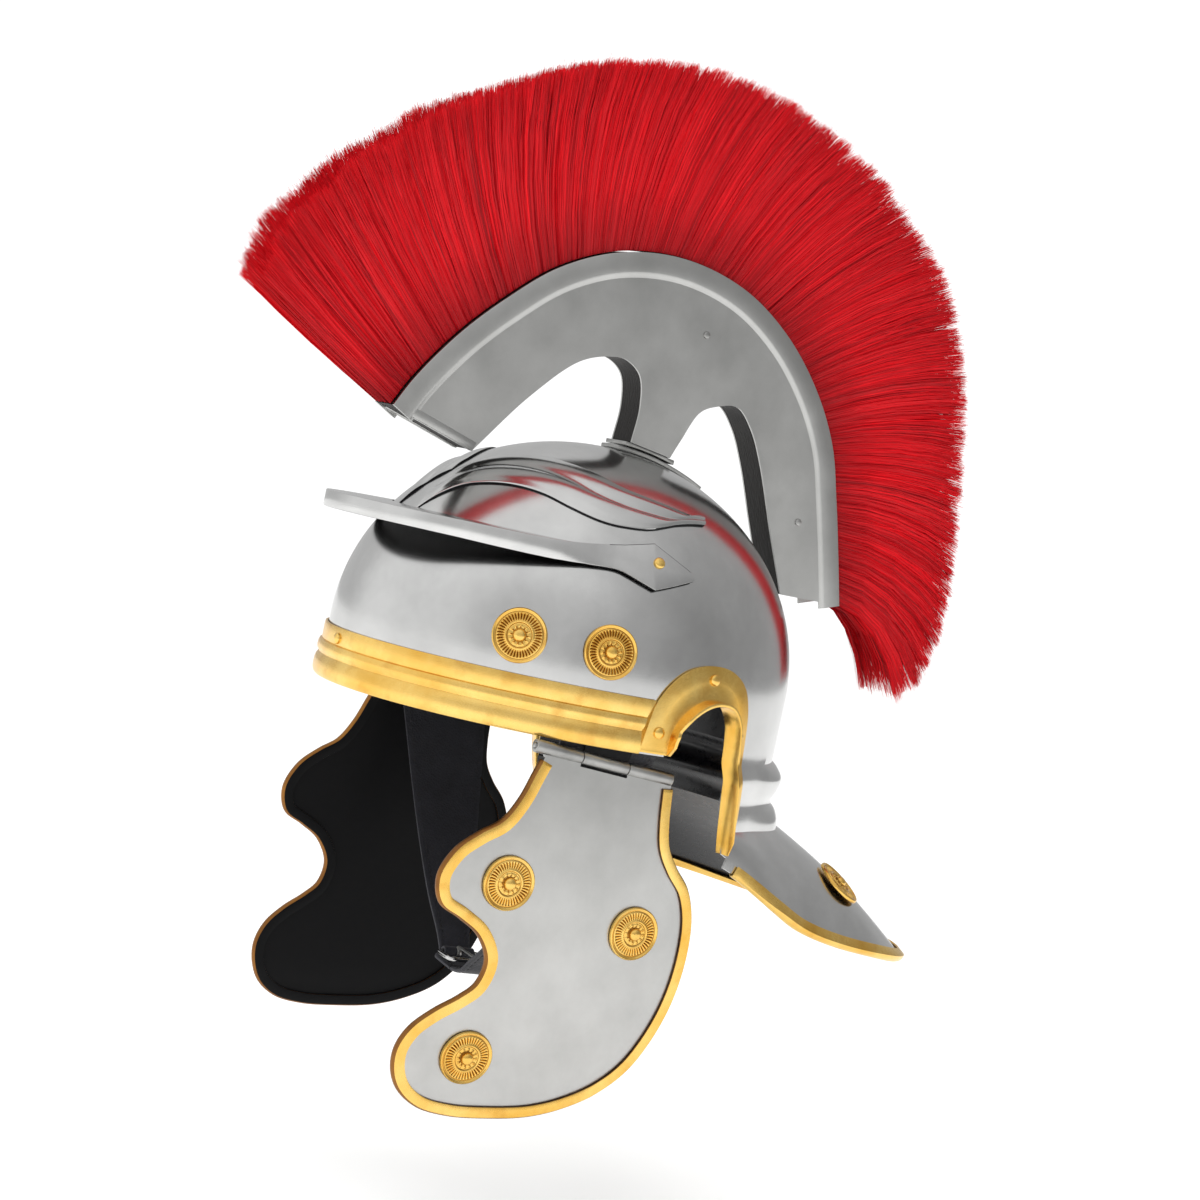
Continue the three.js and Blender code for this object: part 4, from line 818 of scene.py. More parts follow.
hinge = {"offset": 96.5, "front": -56, "length": 76, "drop": 4.2, "slope": 0.092, "barrel": 3.2, "pin": 1.25,
         "gap": 0.3,
         "leafHeight": 22, "leafFoot": 3, "leafClearance": 1.1, "slot": 1.2}
hingeWay = unit(np.array([0, 1, -hinge["slope"]]))
knuckle = 1 / 3
knuckleGap = hinge["gap"] / hinge["length"]


def hingeAt(share):
    return np.array([hinge["offset"], hinge["front"] + share * hinge["length"],
                     -hinge["drop"] - share * hinge["length"] * hinge["slope"]])


def hingeZ(y):
    return -hinge["drop"] - (y - hinge["front"]) * hinge["slope"]


def alongHinge(radius, low, high, bore=0.02, soft=0.35):  # a tube or rod along the hinge with rounded ends
    length = np.linalg.norm(hingeAt(high) - hingeAt(low))
    profile = [(bore, 0), (radius - soft, 0), (radius - 0.3 * soft, 0.3 * soft), (radius, soft),
               (radius, length - soft),
               (radius - 0.3 * soft, length - 0.3 * soft), (radius - soft, length), (bore, length)]
    turn = np.linspace(0, 2 * math.pi, 40, endpoint=False)
    rings = [spread(r * np.cos(turn), r * np.sin(turn), z) for r, z in profile]
    return turned(loft(rings, closed=bore > 0.1), hingeAt(low), hingeWay)


def hingeLeaf():
    wall = (hinge["barrel"] + hinge["pin"] + hinge["gap"]) / 2
    rings = []
    for share in np.linspace(0.02, 0.98, 14):
        axis = hingeAt(knuckle * (1 + share))

        def face(z, depth):
            return [float(sideX(axis[1], z)) - skull["sheet"] - hinge["leafClearance"] - depth, axis[1], z]

        half = skull["sheet"] / 2
        rings.append([face(hinge["leafHeight"], 0), face(hinge["leafFoot"], 0),
                      [axis[0] + half, axis[1], axis[2] + wall],
                      [axis[0] - half, axis[1], axis[2] + wall],
                      face(hinge["leafFoot"] - half, skull["sheet"]),
                      face(hinge["leafHeight"], skull["sheet"])])
    return loft(rings)


for side, sign in sides.items():
    bore = hinge["pin"] + hinge["gap"]
    leaf = joined(hingeLeaf(), alongHinge(hinge["barrel"], knuckle, 2 * knuckle, bore))
    piece = addPiece(f"leaf_{side}", onSide(leaf, sign), [dullIron, paintAndShade],
                     nodes=[f"hinge_leaf_{side}"])
    for polygon in piece.data.polygons:  # the leaf is painted black, its knuckle is bare
        above = polygon.center.z * 1000 - hingeZ(polygon.center.y * 1000)
        polygon.material_index = int(above > hinge["barrel"])
    addPiece(f"pin_{side}", onSide(alongHinge(hinge["pin"], -0.012, 1.012), sign), dullIron,
             nodes=[f"hinge_pin_{side}"])
print("hinges made")


# Cheek guards

cheek = {"front": -91, "width": 138, "length": 181, "bulge": 4.5, "tuck": 0.98, "curl": 12, "curlStart": 20,
         "sheet": 1.6, "grid": 5, "edgingTop": 9.5, "outline": 300}
cheekEdge = [  # share of width, share of length
    (0.297, 0.05), (0.275, 0.094), (0.239, 0.166), (0.188, 0.227), (0.116, 0.265), (0.043, 0.315),
    (0.004, 0.385),
    (0.029, 0.448), (0.109, 0.481), (0.188, 0.519), (0.24, 0.585), (0.225, 0.652), (0.174, 0.691),
    (0.094, 0.735),
    (0.029, 0.785), (0, 0.84), (0.007, 0.895), (0.043, 0.945), (0.116, 0.983), (0.232, 1), (0.37, 1),
    (0.536, 0.989),
    (0.667, 0.961), (0.783, 0.917), (0.877, 0.851), (0.942, 0.762), (0.986, 0.652), (1, 0.53), (0.985, 0.42),
    (0.945, 0.345), (0.88, 0.29), (0.835, 0.238), (0.815, 0.171), (0.805, 0.085)]
cheekLine = smoothLine([(cheek["front"] + y * cheek["width"], -z * cheek["length"]) for y, z in cheekEdge],
                       cheek["outline"])


def cheekX(y, z):
    down = np.clip(-np.asarray(z, float) / cheek["length"], 0, 1)
    forward = np.maximum(0, (-np.asarray(y, float) - cheek["curlStart"]) / cheek["width"])
    bow = np.sin(math.pi * np.minimum(1, 1.1 * down)) - cheek["tuck"] * down
    return hinge["offset"] + cheek["bulge"] * bow - cheek["curl"] * forward ** 2


def inset(line, distance):
    way = unit(np.gradient(line, axis=0))
    return line + np.column_stack([-way[:, 1], way[:, 0]]) * distance


def cheekSheet(name, outline, sign, body, node):
    mesh = bpy.data.meshes.new(name)
    form = bmesh.new()
    form.faces.new([form.verts.new((0, y / 1000, z / 1000)) for y, z in outline])
    low, high = outline.min(0), outline.max(0)
    for axis in (0, 1):
        for level in np.arange(low[axis] + cheek["grid"] / 2, high[axis], cheek["grid"]):
            place, way = [0, 0, 0], [0, 0, 0]
            place[axis + 1], way[axis + 1] = level / 1000, 1
            bmesh.ops.bisect_plane(form, geom=form.verts[:] + form.edges[:] + form.faces[:],
                                   plane_co=place, plane_no=way)
    for vert in form.verts:
        vert.co.x = float(cheekX(vert.co.y * 1000, vert.co.z * 1000)) / 1000 * sign
    bmesh.ops.recalc_face_normals(form, faces=form.faces)
    if sum(face.normal.x for face in form.faces) * sign < 0:
        bmesh.ops.reverse_faces(form, faces=form.faces)
    form.to_mesh(mesh)
    form.free()
    piece = bpy.data.objects.new(name, mesh)
    bpy.context.scene.collection.objects.link(piece)
    mesh.materials.append(brushedSteel)
    mesh.materials.append(paintAndShade)
    wall = piece.modifiers.new("sheet", "SOLIDIFY")
    wall.thickness = cheek["sheet"] / 1000
    wall.offset = 0
    wall.material_offset = 1
    applyModifiers(piece)
    piece.data.shade_smooth()
    piece.data.set_sharp_from_angle(angle=40 * degree)
    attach(piece, body)
    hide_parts(node)


def cheekEdging():
    outer, inner = cheekLine, inset(cheekLine, edging["width"])
    rings = []
    half = cheek["sheet"] / 2
    for edgeAt, innerAt in zip(outer, inner):
        if edgeAt[1] > -cheek["edgingTop"] or innerAt[1] > -cheek["edgingTop"]:
            continue
        inside = spread(cheekX(*innerAt), innerAt[0], innerAt[1])
        rim = spread(cheekX(*edgeAt), edgeAt[0], edgeAt[1])
        rings.append(foldedEdge(inside, rim, np.array([1.0, 0, 0]), half, 0.45, 0.3, edging["sheet"]))
    return loft(rings)


barrelSeat = (hinge["barrel"] + hinge["pin"] + hinge["gap"]) / 2
for side, sign in sides.items():
    body = f"cheek_{side}"
    first, last = cheekLine[0], cheekLine[-1]
    room = []  # the plate steps back behind the bowl's knuckle
    for share in (2 * knuckle + knuckleGap, knuckle - knuckleGap):
        y = hingeAt(share)[1]
        step = [(y, hingeZ(y) - barrelSeat), (y, hingeZ(y) - hinge["barrel"] - hinge["slot"])]
        room += step if not room else step[::-1]
    outline = np.array([(first[0] - 1, hingeZ(first[0] - 1) - barrelSeat), *cheekLine.tolist(),
                        (last[0], hingeZ(last[0]) - barrelSeat), *room])
    cheekSheet(f"cheek_sheet_{side}", outline, sign, body, f"cheek_plate_{side}")
    bore = hinge["pin"] + hinge["gap"]
    barrels = joined(alongHinge(hinge["barrel"], 0, knuckle - knuckleGap, bore),
                     alongHinge(hinge["barrel"], 2 * knuckle + knuckleGap, 1, bore))
    addPiece(f"cheek_barrels_{side}", onSide(barrels, sign), dullIron, body,
             [f"cheek_plate_{side}"])
    trim = addPiece(f"cheek_trim_{side}", onSide(cheekEdging(), sign), [polishedBrass, agedBrass, paintAndShade],
                    body,
                    [f"cheek_edging_{side}"], bevel=0.2)
    for polygon in trim.data.polygons:
        faces = polygon.normal.x * sign  # only the outer face is polished, the inner one is painted over
        polygon.material_index = 0 if faces > 0.75 else 1 if faces > -0.75 else 2
    for place, y, z in (("nose", 0.25, 0.38), ("rear", 0.77, 0.475), ("chin", 0.25, 0.846)):
        y, z = cheek["front"] + y * cheek["width"], -z * cheek["length"]
        normal = unit(np.array([1, (cheekX(y - 5, z) - cheekX(y + 5, z)) / 10,
                                (cheekX(y, z - 5) - cheekX(y, z + 5)) / 10]))
        seat = spread(cheekX(y, z), y, z) + normal * (cheek["sheet"] / 2 + rosette["clearance"])
        addRound(f"boss_cheek_{place}_{side}", rosetteShape, seat, normal, polishedBrass, body,
                 f"rosette_cheek_{place}_{side}", sign)
print("cheek guards made")


# Crest box

crest = {"front": -122, "length": 278, "base": 83, "rise": 156, "width": 21, "sheet": 1.2, "rimRaise": 0.8,
         "footSheet": 2, "footReach": 3, "socketHalf": 9, "socketFront": 6, "socketRear": 22, "nail": 1.9,
         "nailHeight": 1.2,
         "lipStart": 0.1, "lipHigh": 4, "lipUnder": 0.6, "lipIn": 3.4, "lipOut": 0.5}
crestEdge = [  # share of length, share of rise
    (0, 0.34), (0.029, 0.436), (0.094, 0.596), (0.169, 0.737), (0.259, 0.872), (0.374, 0.968), (0.507, 1),
    (0.644, 0.955),
    (0.755, 0.846), (0.845, 0.692), (0.906, 0.526), (0.942, 0.346), (0.971, 0.179), (1, 0)]
frontGap = [(0.165, 0.256), (0.255, 0.462), (0.338, 0.603), (0.399, 0.641), (0.432, 0.641), (0.464, 0.603),
            (0.478, 0.506),
            (0.475, 0.388)]
rearGap = [(0.561, 0.366), (0.576, 0.429), (0.604, 0.532), (0.637, 0.564), (0.683, 0.577), (0.723, 0.513),
           (0.759, 0.404),
           (0.809, 0.205), (0.863, 0)]


def onCrest(table, count):
    return smoothLine([(crest["front"] + y * crest["length"], crest["base"] + z * crest["rise"]) for y,
                       z in table], count)


crestTop = onCrest(crestEdge, 200)
frontEdge = onCrest(frontGap, 90)
rearEdge = onCrest(rearGap, 110)
crestOutline = np.vstack([crestTop, rearEdge[::-1], frontEdge[::-1]])
crestHalf = crest["width"] / 2


def crestRim():  # the raised border with a soft step on its inner side
    section = [(0.15, -0.9), (0.15, 0.55), (-0.25, 0.8), (-9.4, 0.8), (-10.2, 0.72), (-11, 0.42),
               (-11.8, 0.14), (-12.6, -0.02),
               (-12.6, -0.9)]
    rings = [spread(crestHalf + lift * (1 if lift < 0 else crest["rimRaise"] / 0.8),
                    *inset(crestTop, back).T)
             for back, lift in section]
    return loft(np.transpose(np.array(rings), (1, 0, 2)))


for side, sign in sides.items():
    sheet = plateAcross(crestOutline, crestHalf - crest["sheet"], crestHalf)
    addPiece(f"crest_sheet_{side}", onSide(sheet, sign), brushedSteel,
             nodes=[f"crest_plate_{side}"])
    addPiece(f"crest_rim_{side}", onSide(crestRim(), sign), brushedSteel,
             nodes=[f"crest_plate_{side}"], angle=50)
    for place, y, z in (("top", 0.583, 0.782), ("rear", 0.867, 0.25)):
        seat = np.array([crestHalf, crest["front"] + y * crest["length"], crest["base"] + z * crest["rise"]])
        addRound(f"nail_{place}_{side}", domeRivet(crest["nail"], crest["nailHeight"]), seat, (1, 0, 0),
                 dullIron,
                 "helmet", f"crest_nail_{place}_{side}", sign)
start, stop = crestTop[0], frontEdge[0]
down = np.array([stop[1] - start[1], start[0] - stop[0]])
down *= -np.sign(down[1]) / np.linalg.norm(down)
start = start + (stop - start) * crest["lipStart"]
high, under = down * crest["lipHigh"], down * crest["lipUnder"]
fold = plateAcross([start - high, start + under, stop + under, stop - high], crestHalf - crest["lipIn"],
                   crestHalf + crest["lipOut"])
lip = joined(*(onSide(fold, sign) for sign in sides.values()))
addPiece("crest_lips", lip, brushedSteel, nodes=["crest_plate_left", "crest_plate_right"],
         bevel=0.3)
coreHalf = crestHalf - crest["sheet"] - 0.3
addPiece("crest_board", plateAcross(crestOutline, -coreHalf, coreHalf), wood, nodes=["crest_core"],
         angle=50)

footFront, footBack = frontEdge[-1], rearEdge[0]


def domeStrip(low, high, halfWidth, under, over):
    rings = []
    across = np.linspace(-halfWidth, halfWidth, 9)
    for y in np.linspace(low, high, 30):
        rings.append(np.vstack([domePoint(across, y, over), domePoint(across[::-1], y, under)]))
    return loft(rings)


def crestFoot():
    low, high = footFront[0] - crest["footReach"], footBack[0] + crest["footReach"]
    slope = (footBack[1] - footFront[1]) / (footBack[0] - footFront[0])
    y = np.linspace(low, high, 16)
    under = domePoint(np.zeros(16), y)[:, 2] + 0.9 + crest["footSheet"]
    over = [(at, footFront[1] + (at - footFront[0]) * slope - 0.3) for at in (high, low)]
    return plateAcross([*zip(y, under), *over], -crestHalf, crestHalf)


addPiece("foot_plate", crestFoot(), dullIron, nodes=["crest_foot"], bevel=0.3)
socket = domeStrip(footFront[0] - crest["socketFront"], footBack[0] + crest["socketRear"],
                   crest["socketHalf"], 0.45,
                   0.45 + crest["footSheet"])
addPiece("socket_strip", socket, dullIron, nodes=["crest_socket"], bevel=0.3)
print("crest box made")


# Plume: strands in clumps that fan out from the crest's outer edge
# A real horsehair is about 0.2 mm thick; the strands are drawn twice as wide, so that they fill the brush.

plume = {"seed": 41, "clumps": 900, "count": 58000, "segments": 4, "strand": 0.42, "rootWidth": 17,
         "tipWidth": 38,
         "clear": 0.8, "parts": 5, "pull": 0.14}
hairEdge = [  # share of length, share of rise
    (-0.288, 0.635), (-0.27, 0.795), (-0.216, 0.923), (-0.162, 1.045), (-0.094, 1.147), (-0.022, 1.263),
    (0.061, 1.346),
    (0.147, 1.429), (0.241, 1.519), (0.342, 1.571), (0.446, 1.603), (0.554, 1.603), (0.665, 1.575),
    (0.766, 1.519),
    (0.867, 1.44), (0.96, 1.33), (1.05, 1.2), (1.12, 1.03), (1.165, 0.84), (1.195, 0.64), (1.215, 0.45),
    (1.232, 0.25),
    (1.24, 0.06), (1.232, -0.1), (1.209, -0.22), (1.165, -0.288)]
hairRoots = inset(onCrest(crestEdge, 400), plume["clear"])
hairTips = onCrest(hairEdge, 400)


def hairLine(line, share):
    at = np.clip(share, 0, 1) * (len(line) - 1)
    return np.stack([np.interp(at, np.arange(len(line)), line[:, k]) for k in (0, 1)], -1)


def hairCore():  # a dark red mass behind the strands, so that no light shows between them; its dark red is painted shade for the brush's inside
    loops = []
    for k in range(8, len(hairRoots) - 8, 6):
        row = []
        for out in (0, 0.25, 0.5, 0.7):
            width = plume["rootWidth"] + (plume["tipWidth"] - plume["rootWidth"]) * out
            half = width / 2 * (0.8 - 0.35 * out)
            row.append((half, hairPath(k / (len(hairRoots) - 1), out)))
        loops.append([spread(half, *at) for half, at in row]
                     + [spread(-half, *at) for half, at in row[::-1]])
    return loft(loops)


def hairPath(at, out, tipAt=None, length=1):  # a hair leaves the crest upright and bends towards its tip
    root, tip = hairLine(hairRoots, at), hairLine(hairTips, at if tipAt is None else tipAt)
    way = hairLine(hairWays, at)
    reach = np.linalg.norm(tip - root, axis=-1, keepdims=True)
    bend = root + (way * 0.6 + unit(tip - root) * 0.4) * reach * 0.5
    u = np.asarray(out * length)[..., None]
    return root * (1 - u) ** 2 + 2 * bend * u * (1 - u) + tip * u ** 2


hairWays = np.gradient(hairRoots, axis=0)
hairWays = unit(np.column_stack([-hairWays[:, 1], hairWays[:, 0]]))
middle = len(hairRoots) // 2
hairWays *= np.sign(((hairTips - hairRoots) * hairWays).sum(1))[middle]


def strands():
    random = np.random.default_rng(plume["seed"])
    count, clumps = plume["count"], plume["clumps"]
    rank = np.linspace(0, 1, clumps)
    clumpAt = np.clip(rank + random.normal(0, 0.004, clumps), 0, 1)
    clumpSide = random.uniform(-1, 1, clumps)
    clumpTone = random.normal(0, 0.07, clumps)
    clumpLength = 1 - 0.03 * random.random(clumps) ** 2
    clumpLean = random.normal(0, 0.0015, clumps)
    at = np.sort(np.clip((np.arange(count) + random.random(count)) / count, 0, 1))
    wide = random.uniform(-1, 1, count)
    edgeLayer = random.random(count) < 0.4  # more hair lies on the two outer faces
    wide = np.where(edgeLayer, np.sign(wide) * (1 - 0.12 * random.random(count)), wide)
    near = np.clip((at * clumps).astype(int)[:, None] + np.arange(-6, 7)[None, :], 0, clumps - 1)
    far = ((clumpAt[near] - at[:, None]) * 120) ** 2 + (clumpSide[near] - wide[:, None]) ** 2
    clump = near[np.arange(count), far.argmin(1)]
    pull = plume["pull"] * random.uniform(0.5, 1.3, count)
    stray = random.random(count) < 0.03
    tipAt = at + (clumpAt[clump] - at) * pull + clumpLean[clump] + random.normal(0, 0.002, count)
    tipAt = np.clip(np.where(stray, at + random.normal(0, 0.012, count), tipAt), 0, 1)
    tipWide = np.clip(wide + (clumpSide[clump] - wide) * pull * 0.6, -1, 1)
    length = clumpLength[clump] * (1 - 0.045 * random.random(count) ** 2) + random.normal(0, 0.006, count)
    rows = plume["segments"] + 1
    t = np.linspace(0, 1, rows)[None, :]
    reach = t * np.minimum(length, 1.01)[:, None]
    path = hairPath(at[:, None], t, tipAt[:, None], length[:, None])
    wander = random.normal(0, 0.5, (count, 1, 2)) * np.sin(math.pi * t)[..., None]
    path = path + wander + random.normal(0, 0.6, (count, 1, 2)) * t[..., None] ** 2
    half = (plume["rootWidth"] + (plume["tipWidth"] - plume["rootWidth"]) * reach ** 0.85) / 2
    x = half * (wide[:, None] + (tipWide - wide)[:, None] * t)
    centre = np.concatenate([x[..., None], path], -1)
    way = unit(np.gradient(centre, axis=1))
    # mostly flat to the sides, so the brush looks full
    spin = random.uniform(-0.9, 0.9, count)[:, None, None]
    across = unit(np.cross(way, [1.0, 0.0, 0.0]))
    across = across * np.cos(spin) + np.cross(way, across) * np.sin(spin)
    thickness = plume["strand"] / 2 * random.uniform(0.7, 1.25, count)[:, None, None]
    taper = (1 - 0.7 * t ** 3)[..., None] * thickness
    points = np.stack([centre + across * taper, centre - across * taper], 2)
    tone = 0.6 + clumpTone[clump] + random.normal(0, 0.17, count) - 0.3 * (random.random(count) < 0.08)
    return points, np.clip(tone, 0, 1)


def addStrands(name, points, tone):
    count, rows = points.shape[:2]
    first = (np.arange(count) * rows * 2)[:, None] + np.arange(rows - 1)[None, :] * 2
    quads = np.stack([first, first + 1, first + 3, first + 2], -1).reshape(-1, 4)
    mesh = bpy.data.meshes.new(name)
    mesh.vertices.add(count * rows * 2)
    mesh.vertices.foreach_set("co", (points / 1000).astype(np.float32).ravel())
    mesh.loops.add(quads.size)
    mesh.loops.foreach_set("vertex_index", quads.astype(np.int32).ravel())
    mesh.polygons.add(len(quads))
    mesh.polygons.foreach_set("loop_start", np.arange(0, quads.size, 4, dtype=np.int32))
    mesh.update(calc_edges=True)
    tones = np.repeat(tone, rows * 2).astype(np.float32)
    alongs = np.tile(np.repeat(np.linspace(0, 1, rows), 2), count).astype(np.float32)
    mesh.attributes.new("tone", "FLOAT", "POINT").data.foreach_set("value", tones)
    mesh.attributes.new("along", "FLOAT", "POINT").data.foreach_set("value", alongs)
    mesh.materials.append(horsehair)
    mesh.shade_smooth()
    piece = bpy.data.objects.new(name, mesh)
    bpy.context.scene.collection.objects.link(piece)
    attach(piece, "helmet")
    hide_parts("plume")
    return len(quads) * 2


core = addPiece("hair_core", hairCore(), horsehair, nodes=["plume"])
# tone and along at nought give the core the darkest red and the full painted root shade
for name in ("tone", "along"):
    core.data.attributes.new(name, "FLOAT", "POINT").data.foreach_set(
        "value", [0.0] * len(core.data.vertices))
hairPoints, hairTone = strands()
groups = zip(np.array_split(hairPoints, plume["parts"]), np.array_split(hairTone, plume["parts"]))
total = sum(addStrands(f"hair_{i + 1}", *group) for i, group in enumerate(groups))
print("plume made,", total, "triangles")


# Chin strap: a wide band from inside each side that narrows to the buckle under the chin

strap = {"rivetScale": 1.3, "thickness": 2, "topWidth": 52, "endWidth": 17, "depth": 128, "forward": -17,
         "tail": 14, "drop": 4.6, "seam": 3,
         "mouth": 4}
buckle = {"length": 16, "wire": 1.2, "side": 3.2, "round": 3.5, "sleeve": 1.2, "tongueWidth": 2.4,
          "tongueHeight": 1.4,
          "lift": 0.5}
# share of the hinge's offset, forward place, share of depth, width share, curve round the bowl
strapRoute = [
    (1.003, -16, -0.08, 1, 1), (0.984, -15, -0.01, 1, 0.6), (0.935, -14, 0.05, 0.98, 0.2),
    (0.87, -12, 0.18, 0.92, 0),
    (0.76, -10, 0.4, 0.8, 0), (0.6, -10, 0.62, 0.66, 0), (0.4, -12, 0.82, 0.5, 0),
    (0.2, -15.5, 0.95, 0.36, 0)]


def strapLine(endX, drop):  # stations along the strap: middle, width, curve and inward direction
    rows = []
    for out, forward, depth, width, curve in strapRoute:
        w = strap["endWidth"] + (strap["topWidth"] - strap["endWidth"]) * (width - 0.33) / 0.67
        fall = float(smoothStep(depth, 0.5, 1))
        rows.append((out * hinge["offset"], forward, -depth * strap["depth"] - drop * fall, w, curve))
    level = -strap["depth"] - drop
    mouth = buckle["length"] / 2 + strap["mouth"]
    rows += [(mouth, strap["forward"], level, strap["endWidth"], 0),
             (endX, strap["forward"], level, strap["endWidth"], 0)]
    return smoothLine(rows, 90)


def strapBand(endX, drop, point=0):
    line = strapLine(endX, drop)
    way = unit(np.gradient(line[:, [0, 2]], axis=0))
    rings = []
    shares = np.linspace(-0.5, 0.5, 21)
    for i, (x, y, z, width, curve) in enumerate(line):
        inward = np.array([way[i, 1], 0, -way[i, 0]])
        if inward[0] > 0 or (abs(inward[0]) < 0.2 and inward[2] < 0):
            inward = -inward
        left = np.linalg.norm(line[-1, :3] - line[i, :3])
        if point and left < point:  # the tail's rounded point
            width = width * math.sqrt(max(0.02, 1 - (1 - left / point) ** 2))
        across = y + shares * width
        bend = curve * (sideX(across, 5) - sideX(y, 5))
        edge = np.abs(shares) * width
        fromEdge = width / 2 - edge
        soft = np.minimum(1, fromEdge / 0.8) ** 0.5  # rounded edges
        groove = 0.28 * np.exp(-((fromEdge - strap["seam"]) / 0.5) ** 2)
        lift = strap["thickness"] / 2 * (0.55 + 0.45 * soft) - groove
        middle = spread(x + bend, across, z)
        rings.append(np.vstack([middle + inward * lift[:, None], (middle - inward * lift[:, None])[::-1]]))
    return loft(rings)


def stitches(endX, drop):  # saddle stitches in the groove along both edges, on both faces
    line = strapLine(endX, drop)
    run = np.concatenate([[0], np.cumsum(np.linalg.norm(np.diff(line[:, :3], axis=0), axis=1))])
    way = unit(np.gradient(line[:, [0, 2]], axis=0))
    shapes = []
    places = np.arange(4, run[-1] - 4, 3.6)
    for place in places:
        x, y, z, width, curve = (float(np.interp(place, run, line[:, k])) for k in range(5))
        along = np.array([float(np.interp(place, run, way[:, k])) for k in range(2)])
        along = np.array([along[0], 0, along[1]]) / np.linalg.norm(along)
        inward = np.array([along[2], 0, -along[0]])
        for edge in (-1, 1):
            across = y + edge * (width / 2 - strap["seam"])
            bend = curve * float(sideX(across, 5) - sideX(y, 5))
            for face in (-1, 1):
                middle = np.array([x + bend, across, z]) + inward * face * (strap["thickness"] / 2 - 0.18)
                rings = []
                for t, r in ((-1.25, 0.1), (-0.9, 0.28), (0, 0.34), (0.9, 0.28), (1.25, 0.1)):
                    turn = np.arange(6) * math.pi / 3
                    wall = np.outer(np.cos(turn) * r, inward) + np.outer(np.sin(turn) * r, [0, 1, 0])
                    rings.append(middle + along * t + wall)
                shapes.append(loft(rings))
    return joined(*shapes)


bar = -buckle["length"] / 2
sleeveRadius = buckle["wire"] + 0.3 + buckle["sleeve"]


def sleeve(low, high, radius=sleeveRadius):  # a loop of strap or wire round the buckle's bar
    bore = buckle["wire"] + 0.3
    turn = np.linspace(0, 2 * math.pi, 32, endpoint=False)
    rings = [spread(bar + r * np.cos(turn), y, -strap["depth"] + r * np.sin(turn))
             for r, y in ((bore, low), (radius - 0.25, low), (radius, low + 0.25), (radius, high - 0.25),
                          (radius - 0.25, high),
                          (bore, high))]
    return loft(rings, closed=True)


def buckleFrame():
    halfWidth, halfLength = strap["endWidth"] / 2 + buckle["side"], buckle["length"] / 2
    curve = buckle["round"]
    line = []
    for i, (sx, sy) in enumerate(((1, 1), (-1, 1), (-1, -1), (1, -1))):
        for step in np.linspace(0, 90, 9):
            turn = (i * 90 + step) * degree
            line.append((sx * (halfLength - curve) + curve * math.cos(turn),
                         sy * (halfWidth - curve) + curve * math.sin(turn)))
    line = np.array(line)
    aside = unit(np.roll(line, -1, 0) - np.roll(line, 1, 0))
    out = np.column_stack([aside[:, 1], -aside[:, 0]])
    turn = np.linspace(0, 2 * math.pi, 14, endpoint=False)
    wire = buckle["wire"]
    rings = [spread(x + nx * wire * np.cos(turn), strap["forward"] + y + ny * wire * np.cos(turn),
                    -strap["depth"] + wire * np.sin(turn)) for (x, y), (nx, ny) in zip(line, out)]
    return loft(rings, closed=True)


def buckleTongue():
    top = -strap["depth"] + buckle["wire"] + 0.3
    tip = buckle["length"] / 2 + 2 * buckle["wire"]
    rings = []
    for share in np.linspace(0, 1, 16):
        x = bar + (tip - bar) * share
        low = top + buckle["lift"] * (1 - 0.5 * share)
        wide = buckle["tongueWidth"] * 0.9 / 2 * (1 - 0.35 * share ** 3)
        high = buckle["tongueHeight"] * (1 - 0.3 * share ** 4)
        turn = np.linspace(0, 2 * math.pi, 12, endpoint=False)
        rings.append(spread(x, strap["forward"] + wide * np.cos(turn),
                            low + high / 2 + high / 2 * np.sin(turn)))
    half = buckle["tongueWidth"] / 2
    return joined(loft(rings), sleeve(strap["forward"] - half, strap["forward"] + half))


tailEnd = -buckle["length"] / 2 - strap["tail"]
addPiece("strap_left", strapBand(tailEnd, strap["drop"], point=9), leather,
         nodes=["chin_strap_left"], angle=60)
addPiece("strap_seam_left", stitches(tailEnd + 6, strap["drop"]), thread, angle=70)
half = buckle["tongueWidth"] / 2 + 0.3
edgeFront, edgeBack = strap["forward"] - strap["endWidth"] / 2, strap["forward"] + strap["endWidth"] / 2
loops = joined(sleeve(edgeFront, strap["forward"] - half), sleeve(strap["forward"] + half, edgeBack))
holder = -bar + (sleeveRadius + buckle["wire"] + 0.3) / 2
rightBand = onSide(strapBand(holder + 2, 0), -1)
addPiece("strap_right", rightBand, leather, nodes=["chin_strap_right"], angle=60)
addPiece("strap_loops", loops, leather, nodes=["chin_strap_right"])
addPiece("strap_seam_right", onSide(stitches(holder + 2, 0), -1), thread, angle=70)
addPiece("buckle_ring", buckleFrame(), polishedSteel, nodes=["buckle_frame"], angle=60)
addPiece("buckle_pin", buckleTongue(), dullIron, nodes=["buckle_tongue"], angle=50)

top, following = (np.array([out * hinge["offset"], forward, -depth * strap["depth"]])
                  for out, forward, depth in (row[:3] for row in strapRoute[:2]))
run = unit(following - top)
inward = np.array([run[2], 0, -run[0]])
seat = top + (following - top) * 0.5 + inward * (strap["thickness"] / 2 + 0.3)
for side, sign in sides.items():
    addRound(f"rivet_strap_{side}", domeRivet(rivet["radius"] * strap["rivetScale"], rivet["height"]), seat,
             inward, dullIron, "helmet",
             f"strap_rivet_{side}", sign)
print("chin strap made")


# Studio

studio = {"distance": 1200, "azimuth": 60, "elevation": 2.494, "roll": 12.004, "pixelsPerMm": 1.97148,
          "originX": 545.610,
          "originY": 714.356, "frame": 1200, "floor": -250, "floorMiddle": 300,
          "floorRadius": 9000,
          "darkSides": [  # direction, cosine where it is darkest, cosine where it ends, light left there
              ((0.25, 1, 0.1), 0.95, -0.1, 0.4), ((0.866, 0.5, -0.05), 0.98, 0.5, 0.82),
              ((0.866, -0.5, 0.0), 0.98, 0.6, 0.66), ((-1, 0.1, 0.1), 1, 0.5, 0.6)]}


